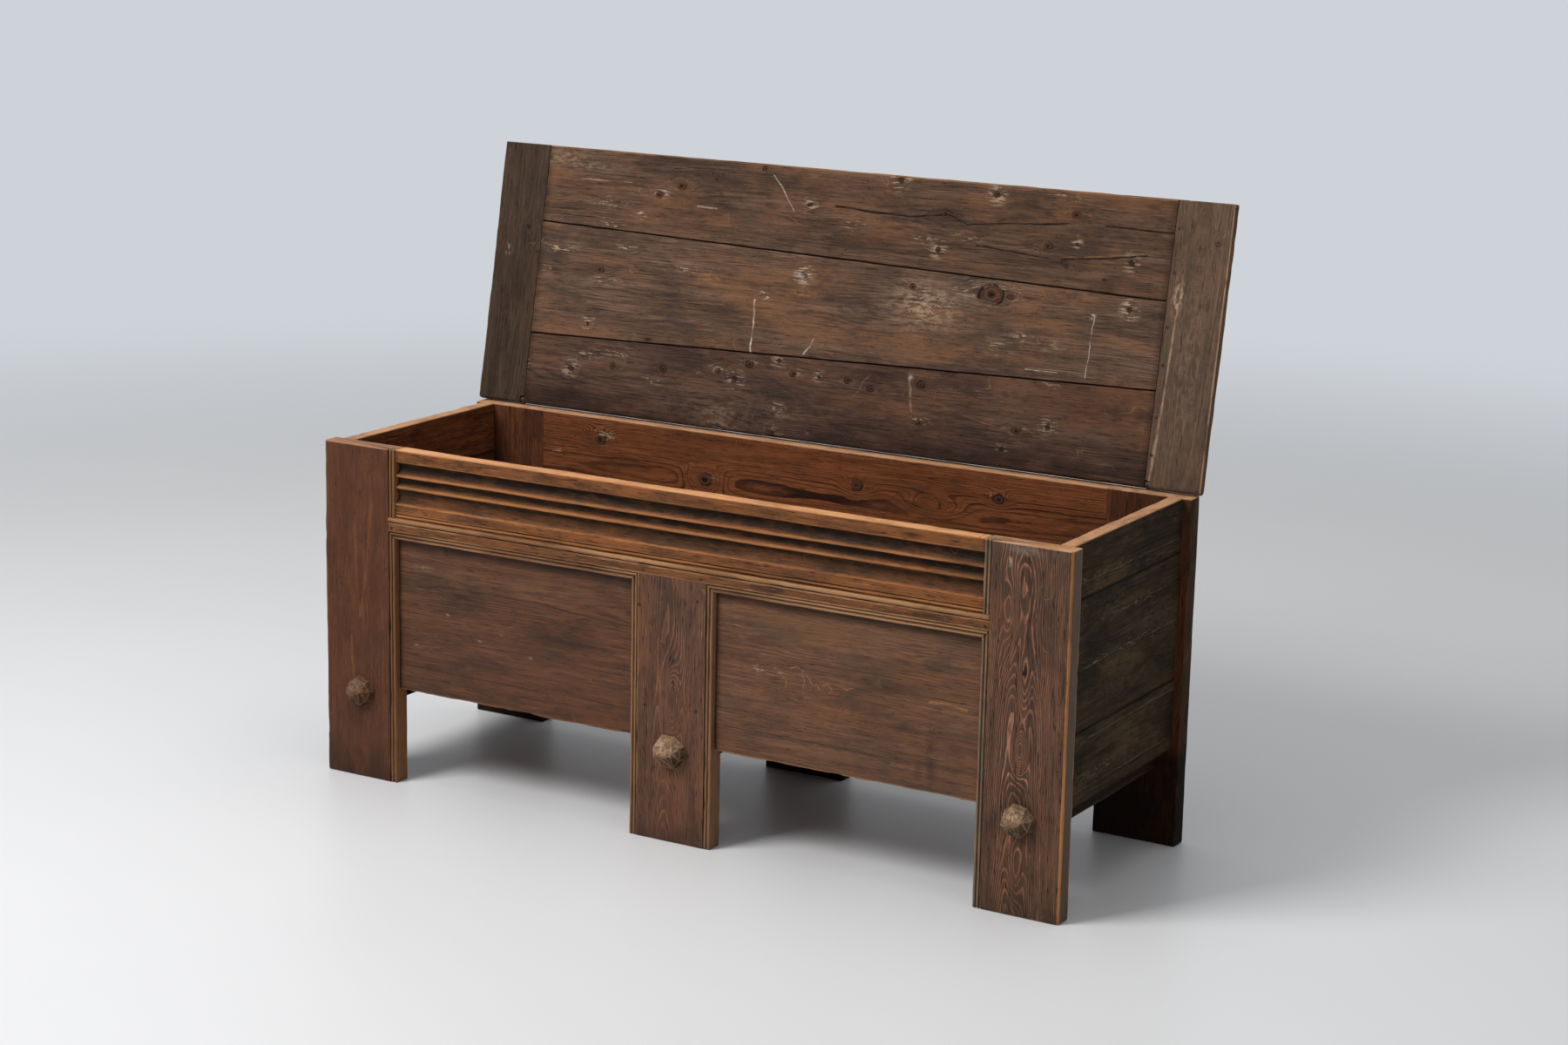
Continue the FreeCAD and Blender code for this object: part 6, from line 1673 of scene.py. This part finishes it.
@dataclass
class Pegs:
    """The big pegs of the bearers: hewn heads at the front, flush ends at the back."""

    rings: tuple = ((1.0, 1.0, 0.0, 0.0, 0.0), (0.88, 0.86, 0.5, 0.02, -0.02), (0.5, 0.14, 1.0, 0.07, 0.02))
    corners: tuple = (1.0, 0.93, 1.0, 0.9, 0.98, 0.94, 1.0, 0.91)
    head: tuple[float, float, float] = (72 * MM, 66 * MM, 28 * MM)
    shank: float = 18 * MM
    flat: float = math.radians(3)
    chamfer: float = 1.2 * MM
    margin: float = 1.6 * MM
    broad: float = 40 * MM * MM
    coarse: float = 6 * MM
    proud: float = 0.4 * MM
    round: int = 28
    draw: float = 0.985
    heads: tuple = (("left", 8, 24, 1.02), ("middle", 27, 14, 1.13), ("right", 16, 28, 1.05))

    def front(self, word: str, turn: float, tilt: float, size: float) -> Object:
        """A peg with a hewn head: octagons that draw in to a ridge, which is tilted in degrees."""
        node = f"{word}_front_peg"
        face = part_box("front_left_leg")[0].y
        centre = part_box(f"{word}_rear_peg")
        middle = (centre[0] + centre[1]) / 2
        lean = math.radians(tilt)
        shape = bmesh.new()
        for length, width, out, aside, up in self.rings:
            for number, share in enumerate(self.corners):
                angle = math.radians(turn - tilt + 360 * number / len(self.corners))
                along, over = size * share * length * math.cos(angle), size * share * width * math.sin(angle)
                wide = along * math.cos(lean) - over * math.sin(lean) + aside
                tall = along * math.sin(lean) + over * math.cos(lean) + up
                shape.verts.new((middle.x + self.head[0] / 2 * wide, face - 0.3 * MM - self.head[2] * out,
                    middle.z + self.head[1] / 2 * tall))
        bmesh.ops.convex_hull(shape, input=shape.verts)
        bmesh.ops.dissolve_limit(shape, angle_limit=self.flat, verts=shape.verts, edges=shape.edges)
        bmesh.ops.bevel(shape, geom=list(shape.edges), offset=self.chamfer, segments=2, profile=0.6, affect="EDGES")
        worn, painted_shade_layer = shape.verts.layers.float.new("wear"), shape.verts.layers.float.new("grime")
        for vert in shape.verts:
            vert[worn] = 0.6
        broad = [side for side in shape.faces if side.calc_area() > self.broad]
        bmesh.ops.inset_individual(shape, faces=broad, thickness=self.margin, use_even_offset=True)
        for side in broad:
            # Painted shade on the broad faces that look down and to the right, away from the light, and a little
            # more on every third face.
            away = side.calc_center_median() - middle
            low = max(0.0, (0.7 * away.x - 0.72 * away.z) / self.shank) + 0.12 * (side.index % 3)
            for vert in side.verts:
                vert[worn], vert[painted_shade_layer] = 0.0, min(0.85, 0.8 * low)
        bmesh.ops.triangulate(shape, faces=shape.faces)
        bmesh.ops.subdivide_edges(shape, edges=[e for e in shape.edges if e.calc_length() > self.coarse], cuts=3)
        bmesh.ops.triangulate(shape, faces=shape.faces)
        hewn, bump = Ripple(node + "_hewn", 0.03), Ripple(node + "_bump", 0.011)
        for vert in shape.verts:
            first, second = vert.co.x + vert.co.y, vert.co.z - vert.co.y
            inward = 0.35 * abs(float(hewn(first, second))) + 0.16 * (1 + float(bump(first, second)))
            vert.co += Vector((middle.x - vert.co.x, 0.02, middle.z - vert.co.z)).normalized() * inward * MM
        mesh = bpy.data.meshes.new(node)
        shape.to_mesh(mesh)
        shape.free()
        return self._finish(node, mesh, middle, face)

    @staticmethod
    def _finish(node: str, mesh: Mesh, middle: Vector, face: float) -> Object:
        """Dress a peg and let it stand for its node."""
        made = placed_piece(f"{node}_wood", mesh)
        lay = Lay(Vector((middle.x, face, middle.z)), RIGHTWARDS, UPWARDS, FORWARDS, 0.1, 0.07, 0.2)
        x, z = middle.x / MM, middle.z / MM
        patches, streaks = (), ()
        tint = (0.85, 0.75, 0.72) if node == "left_front_peg" else (1.35, 1.32, 1.28)
        # The dark patch low on each head is painted shade on the side away from the light.
        if node == "left_front_peg":
            patches = (dusty(x - 6, z + 14, 24, 12, (0.24, 0.19, 0.14), 0.7),
                stained(x + 20, z - 2, 12, 10, ORANGE, 0.8), stained(x - 8, z - 22, 22, 8, DARK, 0.4))
            streaks = (scratched((x - 14, z + 16), (x - 4, z + 22), width=1.6, colour=CREAM),
                cracked((x, z - 6), (x + 24, z - 9), width=1.4))
        elif node == "middle_front_peg":
            patches = (dusty(x - 8, z + 14, 30, 16, (0.3, 0.23, 0.16), 0.8),
                stained(x + 18, z - 16, 18, 12, DARK, 0.6), dusty(x + 4, z + 1, 26, 3, (0.36, 0.2, 0.09), 0.9))
        elif node == "right_front_peg":
            patches = (dusty(x - 6, z + 14, 26, 14, (0.34, 0.24, 0.15), 0.8),
                stained(x + 14, z - 16, 20, 11, DARK, 0.6))
            streaks = (cracked((x - 4, z - 20), (x + 10, z - 14), (x + 24, z - 16), width=1.4),)
        timber = Timber(node, lay, PEG_WOOD, Grain(pith=(0.01, 0.012), ring=0.003, sway=0.002, flame=0.002),
            streaks=streaks, patches=patches, tint=tint, zero=(x, z), end_on=True)
        mesh.materials.append(timber.material())
        return stand_in(made, node, Body.CHEST)

    def rear(self, word: str) -> Object:
        """A flush peg end, barely proud of the leg."""
        node = f"{word}_rear_peg"
        low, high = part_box(node)
        middle = (low + high) / 2
        shape = bmesh.new()
        turned = Matrix.Rotation(math.radians(-90), 4, "X")
        place = Matrix.Translation(middle + Vector((0, self.proud, 0))) @ turned
        bmesh.ops.create_cone(shape, cap_ends=True, segments=self.round, radius1=self.shank,
            radius2=self.shank * self.draw, depth=high.y - low.y + 2 * self.proud, matrix=place)
        mesh = bpy.data.meshes.new(node)
        shape.to_mesh(mesh)
        shape.free()
        return self._finish(node, mesh, middle, high.y)

    def build(self) -> None:
        """All six pegs."""
        for word, turn, tilt, size in self.heads:
            self.front(word, turn, tilt, size)
            self.rear(word)


@dataclass
class Pins:
    """The small dowels, set by Geometry Nodes at the places of a node's own dowels, and the iron of the hinges."""

    proud: float = 0.5 * MM
    sides: int = 14
    seed: int = 5
    iron: tuple[str, ...] = ("left_hinge_eye", "right_hinge_eye", "left_hinge_pin", "right_hinge_pin")

    @staticmethod
    def islands(node: str) -> list[Array]:
        """The vertices of each separate dowel of a node."""
        shape = bmesh.new()
        shape.from_mesh(frame["nodes"][node].data)
        bmesh.ops.remove_doubles(shape, verts=shape.verts, dist=1e-6)
        left, found = set(shape.verts), []
        while left:
            queue = [left.pop()]
            island = []
            while queue:
                vert = queue.pop()
                island.append(tuple(vert.co))
                for edge in vert.link_edges:
                    other = edge.other_vert(vert)
                    if other in left:
                        left.remove(other)
                        queue.append(other)
            found.append(np.array(island))
        shape.free()
        return sorted(found, key=lambda island: tuple(island.mean(0)))

    @staticmethod
    def tree() -> NodeTree:
        """The tree that sets a dowel at each point, turned and sized a little by chance."""
        graph = new_tree("set_dowels", {"Radius": "Float", "Depth": "Float", "Sides": "Int", "Turn": "Vector",
            "Seed": "Int", "Finish": "Material"})
        given = graph.node("NodeGroupInput").outputs
        size = {"Vertices": given["Sides"], "Radius": given["Radius"], "Depth": given["Depth"]}
        dowel = graph.node("GeometryNodeMeshCylinder", size).outputs[0]
        chance = graph.node("FunctionNodeRandomValue", {2: 0.93, 3: 1.0, 8: given["Seed"]},
            data_type="FLOAT").outputs[1]
        scale = graph.joined(chance, chance, 1.0)
        placed = {"Points": given["Geometry"], "Instance": dowel, "Rotation": given["Turn"], "Scale": scale}
        copies = graph.node("GeometryNodeInstanceOnPoints", placed).outputs[0]
        return end_tree(graph, copies, given["Finish"])

    def dowels(self, node: str, body: Body, out: Vector) -> Object:
        """Set a node's dowels, barely proud of the boards."""
        found = self.islands(node)
        axis = np.array(out)
        spans = [island @ axis for island in found]
        depth = max(span.max() - span.min() for span in spans) + 2 * self.proud
        across = found[0] - np.outer(found[0] @ axis, axis)
        radius = float(np.linalg.norm(across - across.mean(0), axis=1).max())
        mesh = bpy.data.meshes.new(node)
        mesh.from_pydata([tuple((island.min(0) + island.max(0)) / 2) for island in found], [], [])
        lay = Lay(Vector((0, 0, 0)), RIGHTWARDS, out.cross(RIGHTWARDS), out, 0.1, 0.1, 0.1)
        finish = Timber(node, lay, PIN_WOOD, Grain(ring=0.002), end_on=True).material()
        turn = tuple(out.to_track_quat("Z", "Y").to_euler())
        plain = grown_by_nodes(linked(node, mesh), self.tree(),
            {"Radius": radius, "Depth": depth, "Sides": self.sides, "Turn": turn, "Seed": self.seed,
            "Finish": finish})
        return stand_in(placed_piece(f"{node}_wood", plain), node, body)

    def forged(self) -> None:
        """Dress the forged iron of the hinges."""
        paint = bpy.data.materials.new("forged_iron")
        paint.use_nodes = True
        graph = Graph(paint.node_tree)
        place = graph.node("ShaderNodeTexCoord").outputs["Object"]
        rust, pits = graph.noise(place, 160.0, 4.0, 0.65), graph.noise(place, 700.0, 3.0, 0.6)
        tone = graph.mix(graph.span(rust, 0.4, 0.62), (0.035, 0.029, 0.026), (0.105, 0.045, 0.022))
        bump = graph.node("ShaderNodeBump", {"Height": pits, "Distance": MM, "Strength": 0.5})
        rough = graph.span(rust, 0.3, 0.7, 0.5, 0.8)
        shader = graph.node("ShaderNodeBsdfPrincipled", {"Base Color": tone, "Roughness": rough,
            "Normal": bump.outputs[0]})
        shader.inputs["Metallic"].default_value = 0.7
        graph.node("ShaderNodeOutputMaterial", {"Surface": shader.outputs[0]})
        for node in self.iron:
            mesh = frame["nodes"][node].data
            mesh.materials.clear()
            mesh.materials.append(paint)

    def build(self) -> None:
        """The dowels of the frame and the lid, and the iron."""
        self.dowels("frame_pins", Body.CHEST, FORWARDS)
        self.dowels("lid_pins", Body.LID, Lid().under)
        self.forged()


@dataclass
class Studio:
    """The plain room: a pale floor, soft lamps and the camera of the photograph."""

    focal: float = 70.93
    sensor: float = 36.0
    aim: tuple[float, float, float] = (0.0, 0.0, 0.5)
    eye: tuple[float, float, float] = (3.1032, -5.2235, 1.9916)
    yaw: float = -0.5275
    pitch: float = -0.2272
    roll: float = 0.0209
    floor_half: float = 30.0
    fade: tuple[float, float] = (2.6, 6.5)
    room: Colour = (0.62, 0.65, 0.69)
    key: float = 310.0
    fill: float = 22.0
    top: float = 60.0
    sky: float = 0.3

    def camera(self) -> None:
        """Set the camera where the photograph was taken from."""
        yaw, pitch, roll = self.yaw, self.pitch, self.roll
        ahead = Vector((math.sin(yaw) * math.cos(pitch), math.cos(yaw) * math.cos(pitch), math.sin(pitch)))
        level = Vector((math.cos(yaw), -math.sin(yaw), 0))
        upright = level.cross(ahead)
        right = level * math.cos(roll) + upright * math.sin(roll)
        up = upright * math.cos(roll) - level * math.sin(roll)
        data = bpy.data.cameras.new("camera")
        data.lens, data.sensor_width = self.focal, self.sensor
        data.clip_start, data.clip_end = 0.1, 100.0
        made = linked("camera", data)
        made.matrix_world = Matrix.Translation(self.eye) @ Matrix((right, up, -ahead)).transposed().to_4x4()
        bpy.context.scene.camera = made

    def lamp(self, name: str, place: Sequence[float], size: float, power: float, colour: Colour) -> None:
        """Hang a square soft lamp that looks at the chest."""
        data = bpy.data.lights.new(name, "AREA")
        data.size, data.energy, data.color = size, power, colour
        made = linked(name, data)
        made.location = place
        made.rotation_euler = (Vector(self.aim) - Vector(place)).to_track_quat("-Z", "Y").to_euler()

    def floor(self) -> None:
        """Lay the pale floor, which fades into the colour of the room far from the chest."""
        half = self.floor_half
        mesh = bpy.data.meshes.new("floor")
        corners = [(-half, -half), (half, -half), (half, half), (-half, half)]
        mesh.from_pydata([(x, y, -0.2 * MM) for x, y in corners], [], [(0, 1, 2, 3)])
        made = linked("floor", mesh)
        paint = bpy.data.materials.new("floor_paint")
        paint.use_nodes = True
        graph = Graph(paint.node_tree)
        place = graph.node("ShaderNodeTexCoord").outputs["Object"]
        cloud = graph.noise(place, 1.3, 4.0, 0.6)
        tone = graph.mix(cloud, (0.66, 0.67, 0.69), (0.7, 0.71, 0.72))
        shader = graph.node("ShaderNodeBsdfPrincipled", {"Base Color": tone, "Roughness": 0.42})
        away = graph.vector("LENGTH", place, result="Value")
        fade = graph.product(graph.span(away, self.fade[0], self.fade[1]), self._seen(graph))
        glow = graph.node("ShaderNodeEmission", {"Color": (*self.room, 1.0), "Strength": 1.0})
        mixed = graph.node("ShaderNodeMixShader", {0: fade, 1: shader.outputs[0], 2: glow.outputs[0]})
        graph.node("ShaderNodeOutputMaterial", {"Surface": mixed.outputs[0]})
        mesh.materials.append(paint)

    @staticmethod
    def _seen(graph: Graph) -> NodeSocket:
        """1 for what the camera sees, straight or in a gloss."""
        path = graph.node("ShaderNodeLightPath").outputs
        mirrored = graph.math("MAXIMUM", path["Is Glossy Ray"], path["Is Transmission Ray"])
        return graph.math("MAXIMUM", path["Is Camera Ray"], mirrored)

    def world(self) -> None:
        """Light the room evenly, with a pale ground behind the chest."""
        world = bpy.data.worlds.new("room")
        bpy.context.scene.world = world
        world.use_nodes = True
        graph = Graph(world.node_tree)
        lit = graph.node("ShaderNodeBackground", {"Color": (1.0, 1.0, 1.0, 1.0), "Strength": self.sky})
        shown = graph.node("ShaderNodeBackground", {"Color": (*self.room, 1.0), "Strength": 1.0})
        mixed = graph.node("ShaderNodeMixShader", {0: self._seen(graph), 1: lit.outputs[0], 2: shown.outputs[0]})
        graph.node("ShaderNodeOutputWorld", {"Surface": mixed.outputs[0]})

    def build(self) -> None:
        """Set up the camera, the lamps, the floor and the room."""
        self.camera()
        self.lamp("key", (-2.2, -3.6, 4.6), 2.4, self.key, (1.0, 0.98, 0.96))
        self.lamp("fill", (5.2, -2.2, 2.6), 3.0, self.fill, (0.96, 0.98, 1.0))
        self.lamp("top", (0.2, 0.2, 4.6), 3.6, self.top, (1.0, 0.99, 0.98))
        self.floor()
        self.world()
        bpy.context.scene.view_settings.view_transform = "Standard"


def main() -> None:
    """Build the room and every piece of the chest."""
    logging.basicConfig(level=logging.INFO, format="%(message)s")
    Studio().build()
    for part in (FrontFrame(), Ends(), Back(), Bottom(), Lid()):
        for board in part.boards():
            board.build()
    Frieze().build()
    Pegs().build()
    Pins().build()


if __name__ == "__main__":
    main()
